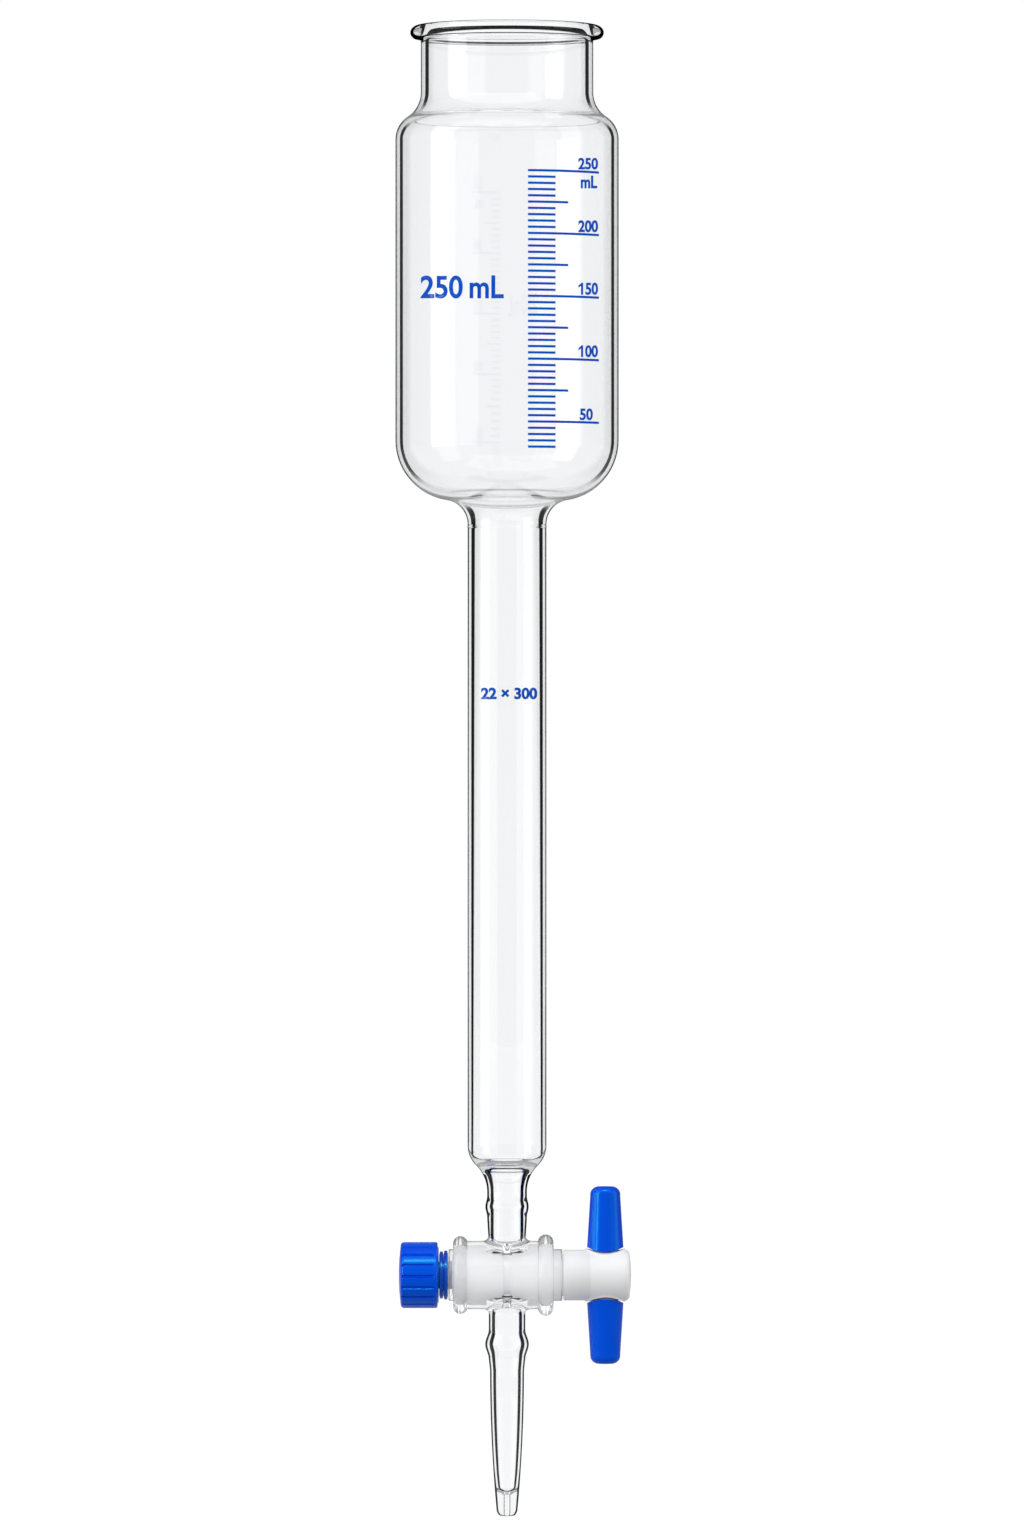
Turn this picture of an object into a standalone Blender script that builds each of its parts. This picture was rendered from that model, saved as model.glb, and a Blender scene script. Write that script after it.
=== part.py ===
"""Glass chromatography column with a reservoir and a stopcock.

The column is one piece of blown and fused borosilicate glass: a rolled rim, a reservoir, a straight tube, a
tapered outlet, two short arms fused to a stopcock barrel, and a drawn tip. In the barrel turns a white plug with a
cross hole. Its head carries two blue grips on stubs, and its stem carries a washer, a ring and a blue nut that
pulls the plug into its seat.

Metres, +Z up. The origin is on the tube's axis, halfway up its straight length, where a clamp holds it. The
stopcock lies along X, with the nut at -X and the handle at +X.
"""

import math

import bmesh
import bpy
from mathutils import Matrix, Vector

# Sizes that fit pieces together
FIT_GAP = 0.0003
FUSED_OVERLAP = 0.0001
CUT_PAST = 0.0010
TURNED_STEPS = 32
SMALL_STEPS = 24

# Tube
TUBE_OUTER_RADIUS = 0.0111
TUBE_WALL = 0.0010
TUBE_LENGTH = 0.1770

# Reservoir and its rim
RESERVOIR_RADIUS = 0.0315
RESERVOIR_WALL = 0.00125
RESERVOIR_LENGTH = 0.0849
FUNNEL_HEIGHT = 0.0237
FUNNEL_ROUND = 0.0170
NECK_RADIUS = 0.0243
NECK_LENGTH = 0.0168
SHOULDER_HEIGHT = 0.0133
SHOULDER_ROUND = 0.0075
RIM_OVERHANG = 0.0030
RIM_WIDTH = 0.0048
RIM_HEIGHT = 0.0040

# Outlet below the tube, with an inner lip and one blown swelling
OUTLET_HEIGHT = 0.0112
OUTLET_ROUND = 0.0058
ARM_RADIUS = 0.0056
ARM_WALL = 0.0013
ARM_WAIST = 0.0003
ARM_SWELLING = 0.0005
ARM_SWELLING_DROP = 0.0154
ARM_SWELLING_HEIGHT = 0.0060
LIP_RADIUS = 0.0051
LIP_DROP = 0.0039
LIP_UNDERCUT = 0.0011
LIP_THICKNESS = 0.0007
LIP_THROAT_SHARE = 0.3

# Stopcock barrel, along X and centred under the tube
STOPCOCK_DROP = 0.0347
BARREL_RADIUS = 0.00963
BARREL_NUT_END = 0.0165
BARREL_HEAD_END = 0.0156
BARREL_NECK_RADIUS = 0.0073
NUT_BEAD_RADIUS = 0.01095
NUT_BEAD_PLACE = 0.01315
HEAD_BEAD_RADIUS = 0.01145
HEAD_BEAD_PLACE = 0.0109
NUT_BEAD_SECTION = 0.00205
HEAD_BEAD_SECTION = 0.00220
FUSED_ROUND = 0.0016

# Delivery tip below the barrel
TIP_LENGTH = 0.0679
TIP_ARM_RADIUS = 0.00515
TIP_ARM_WALL = 0.0009
TIP_SWELLING = 0.0010
TIP_BORE_SWELLING = 0.0007
TIP_SWELLING_DROP = 0.0195
TIP_SWELLING_HEIGHT = 0.0085
TIP_NECK_RADIUS = 0.0048
TIP_NECK_DROP = 0.0268
TIP_END_RADIUS = 0.0030
TIP_END_ROUND = 0.0022
TIP_END_FLAT_SHARE = 0.35
TIP_BORE_RADIUS = 0.0009
TIP_SOLID_LENGTH = 0.0070

# Plug
PLUG_RADIUS = 0.0057
PLUG_TAPER = 0.0003
PLUG_BORE_RADIUS = 0.0010
PORT_RADIUS = 0.00125
PORT_FUNNEL_RADIUS = 0.0036
HEAD_RADIUS = 0.00715
HEAD_LENGTH = 0.0191
HEAD_DOME = 0.0021
HEAD_EDGE_ROUND = 0.00126
STEM_RADIUS = 0.0040
STEM_LENGTH = 0.0120
STEM_SETBACK = 0.0010
STEM_CHAMFER = 0.0006

# Handle on the head
HANDLE_PLACE = 0.0277
HANDLE_HALF_SPAN = 0.0251
GRIP_BASE_HALF_WIDTH = 0.0052
GRIP_END_HALF_WIDTH = 0.00425
GRIP_DEPTH_SHARE = 0.80
GRIP_END_ROUND = 0.0024
GRIP_CROWN = 0.00008
BOSS_RISE = 0.00045
BOSS_SPREAD = 0.0008
STUB_RADIUS = 0.0025
STUB_HALF_SPAN = 0.0200

# Washer, ring and nut on the stem
WASHER_RADIUS = 0.0069
RING_RADIUS = 0.00665
RING_THICKNESS = 0.00095
NUT_RADIUS = 0.0093
NUT_LENGTH = 0.0107
NUT_EDGE_ROUND = 0.0010
NUT_END_DOME = 0.0005
NUT_LIP_RADIUS = 0.0079
NUT_LIP_LENGTH = 0.0003
NUT_PANELS = 18
NUT_GROOVE_WIDTH = 0.00055
NUT_GROOVE_DEPTH = 0.00035
NUT_PLAIN_BAND = 0.0010

# Heights and places worked out from the sizes above
RIM_RADIUS = NECK_RADIUS + RIM_OVERHANG
TUBE_TOP = TUBE_LENGTH / 2
TUBE_BOTTOM = -TUBE_LENGTH / 2
RESERVOIR_BOTTOM = TUBE_TOP + FUNNEL_HEIGHT
RESERVOIR_TOP = RESERVOIR_BOTTOM + RESERVOIR_LENGTH
NECK_BOTTOM = RESERVOIR_TOP + SHOULDER_HEIGHT
RIM_MIDDLE = NECK_BOTTOM + NECK_LENGTH
STOPCOCK_AXIS = TUBE_BOTTOM - STOPCOCK_DROP
TUBE_BORE = TUBE_OUTER_RADIUS - TUBE_WALL
ARM_BORE = ARM_RADIUS - ARM_WALL
ARM_ROOT_RADIUS = ARM_RADIUS - ARM_WAIST
PLUG_SEAT_END = BARREL_HEAD_END + FIT_GAP
STEM_START = -BARREL_NUT_END + STEM_SETBACK
STEM_END = STEM_START - STEM_LENGTH
WASHER_PLACE = -BARREL_NUT_END - FIT_GAP
RING_PLACE = WASHER_PLACE - RING_THICKNESS - FIT_GAP
NUT_PLACE = RING_PLACE - RING_THICKNESS - FIT_GAP
RING_BORE = STEM_RADIUS + FIT_GAP
BARREL_WALL_MIDDLE = (PLUG_RADIUS + FIT_GAP + BARREL_RADIUS) / 2


def empty_scene():
    """Remove the objects that a new file starts with."""
    for obj in list(bpy.data.objects):
        bpy.data.objects.remove(obj, do_unlink=True)


def new_collection(name):
    """Make a collection and link it to the scene."""
    collection = bpy.data.collections.new(name)
    bpy.context.scene.collection.children.link(collection)
    return collection


def new_material(name, colour, roughness, transmission=0.0):
    """Make a plain Principled material."""
    material = bpy.data.materials.new(name)
    material.use_nodes = True
    shader = material.node_tree.nodes["Principled BSDF"]
    shader.inputs["Base Color"].default_value = (*colour, 1.0)
    shader.inputs["Roughness"].default_value = roughness
    shader.inputs["Metallic"].default_value = 0.0
    shader.inputs["Transmission Weight"].default_value = transmission
    return material


def arc(centre_r, centre_z, radius_r, radius_z, start_deg, end_deg, steps):
    """Points along an arc of a circle or an ellipse, both ends included."""
    angles = [math.radians(start_deg + (end_deg - start_deg) * i / steps) for i in range(steps + 1)]
    return [(centre_r + radius_r * math.cos(a), centre_z + radius_z * math.sin(a)) for a in angles]


def ogee(wide, narrow, z_wide, z_narrow, wide_round, steps):
    """Two arcs that lead from a wide wall to a narrow one, upright at both ends.

    The first arc bulges, with radius wide_round. The second hollows, with the radius that makes the two meet
    without a kink.
    """
    step_in = wide - narrow
    rise = abs(z_narrow - z_wide)
    side = 1.0 if z_narrow > z_wide else -1.0
    both = (rise**2 + step_in**2) / (2 * step_in)
    narrow_round = both - wide_round
    turn = math.degrees(math.asin(min(rise / both, 1.0)))
    if step_in > rise:
        turn = 180 - turn
    outer = arc(wide - wide_round, z_wide, wide_round, side * wide_round, 0, turn, steps)
    inner = arc(narrow + narrow_round, z_narrow, -narrow_round, -side * narrow_round, turn, 0, steps)
    return outer + inner[1:]


def swelling(radius, amount, middle, height, steps):
    """A blown swelling, from its top to its bottom."""
    points = []
    for i in range(steps + 1):
        t = i / steps
        points.append((radius + amount * math.sin(math.pi * t) ** 2, middle + height / 2 - height * t))
    return points


def mesh_object(name, build, collection):
    """An object whose mesh is filled by build(bm)."""
    mesh = bpy.data.meshes.new(name)
    bm = bmesh.new()
    build(bm)
    bm.to_mesh(mesh)
    bm.free()
    obj = bpy.data.objects.new(name, mesh)
    collection.objects.link(obj)
    return obj


def turned(name, profile, collection, closed=True, steps=TURNED_STEPS):
    """A profile of (radius, height) points, turned about Z.

    A closed profile is a section through a ring. An open one starts and ends on the axis.
    """

    def build(bm):
        verts = [bm.verts.new((max(r, 0.0), 0.0, z)) for r, z in profile]
        for first, second in zip(verts, verts[1:]):
            bm.edges.new((first, second))
        if closed:
            bm.edges.new((verts[-1], verts[0]))

    obj = mesh_object(name, build, collection)
    screw = obj.modifiers.new("Turn", "SCREW")
    screw.axis = "Z"
    screw.steps = steps
    screw.render_steps = steps
    screw.use_merge_vertices = True
    screw.merge_threshold = 0.000005
    return obj


def turned_about_x(name, profile, collection, closed=True, steps=TURNED_STEPS):
    """A profile of (radius, x) points, turned about the stopcock's axis."""
    obj = turned(name, profile, collection, closed, steps)
    obj.rotation_euler = (0.0, math.pi / 2, 0.0)
    obj.location = (0.0, 0.0, STOPCOCK_AXIS)
    return obj


def combine(target, other, operation):
    """Join or cut target with another object, which stays as a guide."""
    other.hide_render = True
    other.display_type = "WIRE"
    modifier = target.modifiers.new(other.name, "BOOLEAN")
    modifier.operation = operation
    modifier.solver = "EXACT"
    modifier.object = other


def loft(name, rings, collection, ends):
    """Faces between rings of points. ends is 'joined' for a ring-shaped body and 'capped' for a plain one."""

    def build(bm):
        loops = [[bm.verts.new(point) for point in ring] for ring in rings]
        count = len(rings[0])
        pairs = list(zip(loops, loops[1:]))
        if ends == "joined":
            pairs.append((loops[-1], loops[0]))
        for upper, lower in pairs:
            for i in range(count):
                k = (i + 1) % count
                bm.faces.new((upper[i], lower[i], lower[k], upper[k]))
        if ends == "capped":
            for loop in (loops[0], loops[-1]):
                centre = bm.verts.new(sum((v.co for v in loop), Vector()) / count)
                for i in range(count):
                    bm.faces.new((loop[i], loop[(i + 1) % count], centre))
        bmesh.ops.recalc_face_normals(bm, faces=bm.faces)

    return mesh_object(name, build, collection)


def saddle_ring(half_x, half_y, host_radius, lift, side):
    """A ring round an upright branch, lying on a cylinder along X and lifted off it."""
    points = []
    for i in range(TURNED_STEPS):
        turn = 2 * math.pi * i / TURNED_STEPS
        y = half_y * math.sin(turn)
        z = math.sqrt(max(host_radius**2 - y**2, 0.0)) + lift
        points.append(Vector((half_x * math.cos(turn), y, side * z)))
    return points


def fused_collar(name, radius, inner_radius, side, collection):
    """The rounded collar where an arm is fused to the barrel, as a ring inside the glass of both."""
    steps = 5
    rings = []
    for i in range(steps + 1):
        turn = math.radians(90 - 90 * i / steps)
        reach = radius - FUSED_OVERLAP + FUSED_ROUND * (1 - math.sin(turn))
        lift = FUSED_ROUND * (1 - math.cos(turn)) - FUSED_OVERLAP
        rings.append(saddle_ring(reach, reach, BARREL_RADIUS, lift, side))
    depth = -(BARREL_RADIUS - BARREL_WALL_MIDDLE) / 2
    outside = radius - FUSED_OVERLAP + FUSED_ROUND
    rings.append(saddle_ring(outside, outside, BARREL_RADIUS, depth, side))
    rings.append(saddle_ring(inner_radius, inner_radius, BARREL_RADIUS, depth, side))
    top = FUSED_ROUND - FUSED_OVERLAP
    rings.append(saddle_ring(inner_radius, inner_radius, BARREL_RADIUS, top, side))
    collar = loft(name, rings, collection, "joined")
    collar.location = (0.0, 0.0, STOPCOCK_AXIS)
    return collar


def rim_profile():
    """The rolled rim, from the neck's inner wall over the top to its outer wall."""
    half_width = RIM_WIDTH / 2
    half_height = RIM_HEIGHT / 2
    middle = RIM_RADIUS - half_width
    outer_turn = -math.degrees(math.acos((NECK_RADIUS - middle) / half_width))
    inner_turn = -180 + math.degrees(math.acos((middle - NECK_RADIUS + RESERVOIR_WALL) / half_width))
    return arc(middle, RIM_MIDDLE, half_width, half_height, 360 + inner_turn, outer_turn, 10)


def column_outside():
    """The column's outer wall, from below the rim to the root of the upper arm."""
    points = ogee(RESERVOIR_RADIUS, NECK_RADIUS, RESERVOIR_TOP, NECK_BOTTOM, SHOULDER_ROUND, 3)[::-1]
    points += ogee(RESERVOIR_RADIUS, TUBE_OUTER_RADIUS, RESERVOIR_BOTTOM, TUBE_TOP, FUNNEL_ROUND, 4)
    outlet_end = TUBE_BOTTOM - OUTLET_HEIGHT
    points += ogee(TUBE_OUTER_RADIUS, ARM_RADIUS, TUBE_BOTTOM, outlet_end, OUTLET_ROUND, 4)
    middle = TUBE_BOTTOM - ARM_SWELLING_DROP
    points += swelling(ARM_RADIUS, ARM_SWELLING, middle, ARM_SWELLING_HEIGHT, 4)
    points += [(ARM_ROOT_RADIUS, STOPCOCK_AXIS + BARREL_RADIUS + FUSED_ROUND)]
    points += [(ARM_ROOT_RADIUS, STOPCOCK_AXIS + BARREL_WALL_MIDDLE)]
    return points


def column_inside():
    """The column's inner wall, from the neck to the root of the upper arm."""
    wide = RESERVOIR_RADIUS - RESERVOIR_WALL
    neck = NECK_RADIUS - RESERVOIR_WALL
    points = ogee(wide, neck, RESERVOIR_TOP, NECK_BOTTOM, SHOULDER_ROUND - RESERVOIR_WALL, 3)[::-1]
    points += ogee(wide, TUBE_BORE, RESERVOIR_BOTTOM, TUBE_TOP, FUNNEL_ROUND - RESERVOIR_WALL, 4)
    lip_top = TUBE_BOTTOM - LIP_DROP
    points += arc(LIP_RADIUS, TUBE_BOTTOM, TUBE_BORE - LIP_RADIUS, LIP_DROP, 0, -90, 5)
    points += [(LIP_RADIUS + LIP_UNDERCUT, lip_top - LIP_THICKNESS)]
    outlet_end = TUBE_BOTTOM - OUTLET_HEIGHT
    throat = ARM_BORE + (LIP_RADIUS + LIP_UNDERCUT - ARM_BORE) * LIP_THROAT_SHARE
    points += [(throat, (lip_top + outlet_end) / 2)]
    points += [(ARM_BORE, outlet_end)]
    middle = TUBE_BOTTOM - ARM_SWELLING_DROP
    points += swelling(ARM_BORE, ARM_SWELLING, middle, ARM_SWELLING_HEIGHT / 2, 4)
    points += [(ARM_BORE, STOPCOCK_AXIS + BARREL_WALL_MIDDLE)]
    return points


def tip_outside():
    """The delivery arm's outer wall, from the barrel to its rounded end, as heights from the stopcock's axis."""
    points = [(TIP_ARM_RADIUS, -BARREL_WALL_MIDDLE)]
    points += swelling(TIP_ARM_RADIUS, TIP_SWELLING, -TIP_SWELLING_DROP, TIP_SWELLING_HEIGHT, 6)
    taper_end = TIP_LENGTH - TIP_END_ROUND
    steps = 6
    for i in range(steps + 1):
        t = i / steps
        radius = TIP_NECK_RADIUS - (TIP_NECK_RADIUS - TIP_END_RADIUS) * t**2
        points.append((radius, -TIP_NECK_DROP - (taper_end - TIP_NECK_DROP) * t))
    flat = TIP_BORE_RADIUS + (TIP_END_RADIUS - TIP_BORE_RADIUS) * TIP_END_FLAT_SHARE
    return points + arc(flat, -taper_end, TIP_END_RADIUS - flat, TIP_END_ROUND, -18, -90, 4)


def tip_inside():
    """The delivery arm's inner wall, from the outlet hole up to the barrel."""
    floor = TIP_LENGTH - TIP_SOLID_LENGTH
    points = [(TIP_BORE_RADIUS, -TIP_LENGTH), (TIP_BORE_RADIUS, -floor - TIP_BORE_RADIUS)]
    floor_radius = tip_radius_at(floor) - TIP_ARM_WALL
    points += arc(TIP_BORE_RADIUS, -floor + floor_radius * 0.6, floor_radius - TIP_BORE_RADIUS,
                  floor_radius * 0.8, -60, 0, 3)
    steps = 5
    start = floor - floor_radius
    for i in range(1, steps + 1):
        drop = start + (TIP_NECK_DROP - start) * i / steps
        points.append((tip_radius_at(drop) - TIP_ARM_WALL, -drop))
    bore = TIP_ARM_RADIUS - TIP_ARM_WALL
    points += swelling(bore, TIP_BORE_SWELLING, -TIP_SWELLING_DROP, TIP_SWELLING_HEIGHT - 2 * TIP_ARM_WALL, 6)[::-1]
    return points + [(bore, -BARREL_WALL_MIDDLE)]


def tip_radius_at(drop):
    """The outer radius of the drawn tip, at a depth below the stopcock's axis."""
    taper_end = TIP_LENGTH - TIP_END_ROUND
    t = (drop - TIP_NECK_DROP) / (taper_end - TIP_NECK_DROP)
    return TIP_NECK_RADIUS - (TIP_NECK_RADIUS - TIP_END_RADIUS) * t**2


def bead(radius, section, place, from_radius, to_radius):
    """A rolled bead on the barrel, from the +X side to the -X side."""
    centre = radius - section
    start = math.degrees(math.asin(max(from_radius - centre, -section) / section))
    end = 180 - math.degrees(math.asin(max(to_radius - centre, -section) / section))
    steps = 6
    points = []
    for i in range(steps + 1):
        turn = math.radians(start + (end - start) * i / steps)
        points.append((centre + section * math.sin(turn), place + section * math.cos(turn)))
    return points


def barrel_outside():
    """The barrel's outer wall, from its head end to its nut end."""
    points = [(0.0, BARREL_HEAD_END), (BARREL_NECK_RADIUS, BARREL_HEAD_END)]
    points += bead(HEAD_BEAD_RADIUS, HEAD_BEAD_SECTION, HEAD_BEAD_PLACE, BARREL_NECK_RADIUS, BARREL_RADIUS)
    points += bead(NUT_BEAD_RADIUS, NUT_BEAD_SECTION, -NUT_BEAD_PLACE, BARREL_RADIUS, BARREL_NECK_RADIUS)
    points += [(BARREL_NECK_RADIUS, -BARREL_NUT_END), (0.0, -BARREL_NUT_END)]
    return points


def barrel_bore():
    """The tapered seat through the barrel, from its head end to its nut end, a little past both faces."""
    wide = PLUG_RADIUS + FIT_GAP
    narrow = wide - PLUG_TAPER
    slope = PLUG_TAPER / (BARREL_HEAD_END + BARREL_NUT_END)
    head_end = BARREL_HEAD_END + CUT_PAST
    nut_end = -BARREL_NUT_END - CUT_PAST
    flare = slope * CUT_PAST
    return [(0.0, head_end), (wide + flare, head_end), (narrow - flare, nut_end), (0.0, nut_end)]


def port_profile(side):
    """The hole through the barrel's wall, with a funnel on its outer side, from top to bottom."""
    funnel_top = BARREL_RADIUS + FIT_GAP
    points = [(0.0, funnel_top), (PORT_FUNNEL_RADIUS, funnel_top)]
    points += arc(PORT_FUNNEL_RADIUS, BARREL_WALL_MIDDLE, PORT_RADIUS - PORT_FUNNEL_RADIUS,
                  BARREL_RADIUS - BARREL_WALL_MIDDLE, 75, 0, 4)
    inside = PLUG_RADIUS - CUT_PAST
    points += [(PORT_RADIUS, inside), (0.0, inside)]
    if side < 0:
        points = [(r, -z) for r, z in points[::-1]]
    return points


def make_glass(parts, guides, material):
    """The column as one piece of glass."""
    profile = column_outside() + column_inside()[::-1] + rim_profile()
    glass = turned("glass_column", profile, parts)
    glass.data.materials.append(material)
    barrel = turned_about_x("barrel_blank", barrel_outside(), guides, closed=False)
    combine(glass, barrel, "UNION")
    tip = turned("tip_blank", tip_outside() + tip_inside(), guides, steps=SMALL_STEPS)
    tip.location = (0.0, 0.0, STOPCOCK_AXIS)
    combine(glass, tip, "UNION")
    arm_ring = (ARM_ROOT_RADIUS + ARM_BORE) / 2
    combine(glass, fused_collar("upper_collar", ARM_ROOT_RADIUS, arm_ring, 1, guides), "UNION")
    tip_ring = TIP_ARM_RADIUS - TIP_ARM_WALL / 2
    combine(glass, fused_collar("lower_collar", TIP_ARM_RADIUS, tip_ring, -1, guides), "UNION")
    bore = turned_about_x("barrel_bore", barrel_bore(), guides, closed=False)
    for side, name in ((1, "upper_port"), (-1, "lower_port")):
        port = turned(name, port_profile(side), guides, closed=False, steps=SMALL_STEPS)
        port.location = (0.0, 0.0, STOPCOCK_AXIS)
        combine(bore, port, "UNION")
    combine(glass, bore, "DIFFERENCE")
    return glass


def plug_profile():
    """The plug from the tip of its head to the end of its stem."""
    head_end = PLUG_SEAT_END + HEAD_LENGTH
    dome_start = head_end - HEAD_DOME
    points = [(0.0, head_end)]
    flat = HEAD_RADIUS - HEAD_EDGE_ROUND
    points += [(flat + HEAD_EDGE_ROUND * math.cos(a), dome_start + HEAD_DOME * 0.75 * math.sin(a))
               for a in (math.pi / 2, math.pi / 3, math.pi / 6, 0.0)]
    seat_nut_end = STEM_START
    slope = PLUG_TAPER / (BARREL_HEAD_END + BARREL_NUT_END)
    points += [(HEAD_RADIUS, PLUG_SEAT_END), (PLUG_RADIUS, PLUG_SEAT_END)]
    points += [(PLUG_RADIUS - slope * (PLUG_SEAT_END - seat_nut_end), seat_nut_end)]
    points += [(STEM_RADIUS, seat_nut_end), (STEM_RADIUS, STEM_END + STEM_CHAMFER)]
    points += [(STEM_RADIUS - STEM_CHAMFER, STEM_END), (0.0, STEM_END)]
    return points


def boss_half_width():
    """Half the width of the raised boss under a grip."""
    return GRIP_BASE_HALF_WIDTH + FIT_GAP


def make_boss(side, guides):
    """A low raised boss on the head, which a grip stands on."""
    half_x = boss_half_width()
    half_y = half_x * GRIP_DEPTH_SHARE
    steps = 4
    rings = []
    for i in range(steps + 1):
        turn = math.radians(90 - 90 * i / steps)
        spread = BOSS_SPREAD * (1 - math.sin(turn))
        lift = BOSS_RISE * (1 - math.cos(turn)) - FUSED_OVERLAP / 2
        rings.append(saddle_ring(half_x + spread, half_y + spread, HEAD_RADIUS, lift, side))
    foot = -HEAD_RADIUS / 3
    rings.append(saddle_ring(half_x + BOSS_SPREAD, half_y + BOSS_SPREAD, HEAD_RADIUS, foot, side))
    boss = loft("upper_boss" if side > 0 else "lower_boss", rings, guides, "capped")
    boss.location = (HANDLE_PLACE, 0.0, STOPCOCK_AXIS)
    return boss


def upright_cylinder(name, radius, height, place, collection):
    """A cylinder along Z, centred on place."""

    def build(bm):
        bmesh.ops.create_cone(bm, cap_ends=True, segments=24, radius1=radius, radius2=radius, depth=height)

    obj = mesh_object(name, build, collection)
    obj.location = place
    return obj


def make_plug(parts, guides, material):
    """The plug, with its cross hole, its two bosses and the stubs that carry the grips."""
    plug = turned_about_x("stopcock_plug", plug_profile(), parts, closed=False)
    plug.data.materials.append(material)
    for side in (1, -1):
        combine(plug, make_boss(side, guides), "UNION")
    stubs = upright_cylinder("grip_stubs", STUB_RADIUS, 2 * STUB_HALF_SPAN,
                             (HANDLE_PLACE, 0.0, STOPCOCK_AXIS), guides)
    combine(plug, stubs, "UNION")
    hole = upright_cylinder("plug_bore", PLUG_BORE_RADIUS, 3 * PLUG_RADIUS, (0.0, 0.0, STOPCOCK_AXIS), guides)
    combine(plug, hole, "DIFFERENCE")
    return plug


def grip_profile():
    """The grip from its rounded end to its open base, as heights from the stopcock's axis."""
    end = HANDLE_HALF_SPAN
    shoulder = end - GRIP_END_ROUND
    share = (end - shoulder) / (end - HEAD_RADIUS)
    end_radius = GRIP_END_HALF_WIDTH + (GRIP_BASE_HALF_WIDTH - GRIP_END_HALF_WIDTH) * share
    crown = end_radius - GRIP_END_ROUND
    points = [(0.0, end), (crown * 0.6, end - GRIP_CROWN)]
    points += arc(crown, shoulder, GRIP_END_ROUND, GRIP_END_ROUND * 0.94, 80, 0, 5)
    base = HEAD_RADIUS / 2
    slope = (GRIP_BASE_HALF_WIDTH - end_radius) / (shoulder - HEAD_RADIUS)
    return points + [(GRIP_BASE_HALF_WIDTH + slope * (HEAD_RADIUS - base), base), (0.0, base)]


def make_grip(name, side, parts, guides, material):
    """A blue grip: a tapered cap, flattened front to back, over a stub and saddled on its boss."""
    grip = turned(name, grip_profile(), parts, closed=False)
    grip.data.materials.append(material)
    grip.rotation_euler = (0.0 if side > 0 else math.pi, 0.0, 0.0)
    grip.scale = (1.0, GRIP_DEPTH_SHARE, 1.0)
    grip.location = (HANDLE_PLACE, 0.0, STOPCOCK_AXIS)
    saddle_radius = HEAD_RADIUS + BOSS_RISE + FIT_GAP
    saddle = turned_about_x(name + "_saddle", [(0.0, HANDLE_PLACE * 2), (saddle_radius, HANDLE_PLACE * 2),
                                               (saddle_radius, 0.0), (0.0, 0.0)], guides, closed=False)
    combine(grip, saddle, "DIFFERENCE")
    socket_top = STUB_HALF_SPAN + FIT_GAP
    socket = upright_cylinder(name + "_socket", STUB_RADIUS + FIT_GAP, socket_top,
                              (HANDLE_PLACE, 0.0, STOPCOCK_AXIS + side * socket_top / 2), guides)
    combine(grip, socket, "DIFFERENCE")
    return grip


def make_ring(name, radius, place, parts, material):
    """A flat ring with rounded edges, loose on the stem. place is its face nearest the barrel."""
    half = RING_THICKNESS / 2
    profile = arc(radius - half, place - half, half, half, 90, -90, 4)
    profile += [(RING_BORE, place - RING_THICKNESS), (RING_BORE, place)]
    ring = turned_about_x(name, profile, parts, steps=SMALL_STEPS)
    ring.data.materials.append(material)
    return ring


def nut_profile():
    """The nut's section, from the floor of its bore to its open face and over its outer wall to its end."""
    end = NUT_PLACE - NUT_LENGTH
    body_face = NUT_PLACE - NUT_LIP_LENGTH
    floor = STEM_END - FIT_GAP
    points = [(0.0, floor), (RING_BORE, floor), (RING_BORE, NUT_PLACE)]
    points += [(NUT_LIP_RADIUS, NUT_PLACE), (NUT_LIP_RADIUS, body_face)]
    points += [(NUT_RADIUS - NUT_LIP_LENGTH, body_face), (NUT_RADIUS, body_face - NUT_LIP_LENGTH)]
    points += [(NUT_RADIUS - NUT_EDGE_ROUND * (1 - math.cos(a)), end + NUT_EDGE_ROUND * (1 - math.sin(a)))
               for a in (0.0, math.pi / 6, math.pi / 3, math.pi / 2)]
    return points + [(NUT_RADIUS / 2, end - NUT_END_DOME * 0.75), (0.0, end - NUT_END_DOME)]


def make_nut(parts, guides, material):
    """The blue nut on the stem, with flat panels between narrow grooves."""
    nut = turned_about_x("tension_nut", nut_profile(), parts, closed=False, steps=NUT_PANELS * 3)
    nut.data.materials.append(material)
    groove_start = NUT_PLACE - NUT_LIP_LENGTH - NUT_PLAIN_BAND
    groove_end = NUT_PLACE - NUT_LENGTH + NUT_EDGE_ROUND * 0.6
    length = groove_start - groove_end

    def build(bm):
        for i in range(NUT_PANELS):
            turn = Matrix.Rotation(2 * math.pi * (i + 0.5) / NUT_PANELS, 4, "X")
            place = Matrix.Translation(((groove_start + groove_end) / 2, 0.0, NUT_RADIUS))
            size = Matrix.Diagonal((length, NUT_GROOVE_WIDTH, 2 * NUT_GROOVE_DEPTH, 1.0))
            bmesh.ops.create_cube(bm, size=1.0, matrix=turn @ place @ size)

    grooves = mesh_object("nut_grooves", build, guides)
    grooves.location = (0.0, 0.0, STOPCOCK_AXIS)
    combine(nut, grooves, "DIFFERENCE")
    return nut


def parent_to(empty, objects):
    """Hang objects under an empty without moving them."""
    bpy.context.view_layer.update()
    for obj in objects:
        obj.parent = empty
        obj.matrix_parent_inverse = empty.matrix_world.inverted()


def new_empty(name, place, collection):
    """An empty on a joint's axis."""
    empty = bpy.data.objects.new(name, None)
    empty.location = place
    empty.empty_display_size = 0.01
    collection.objects.link(empty)
    return empty


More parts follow.
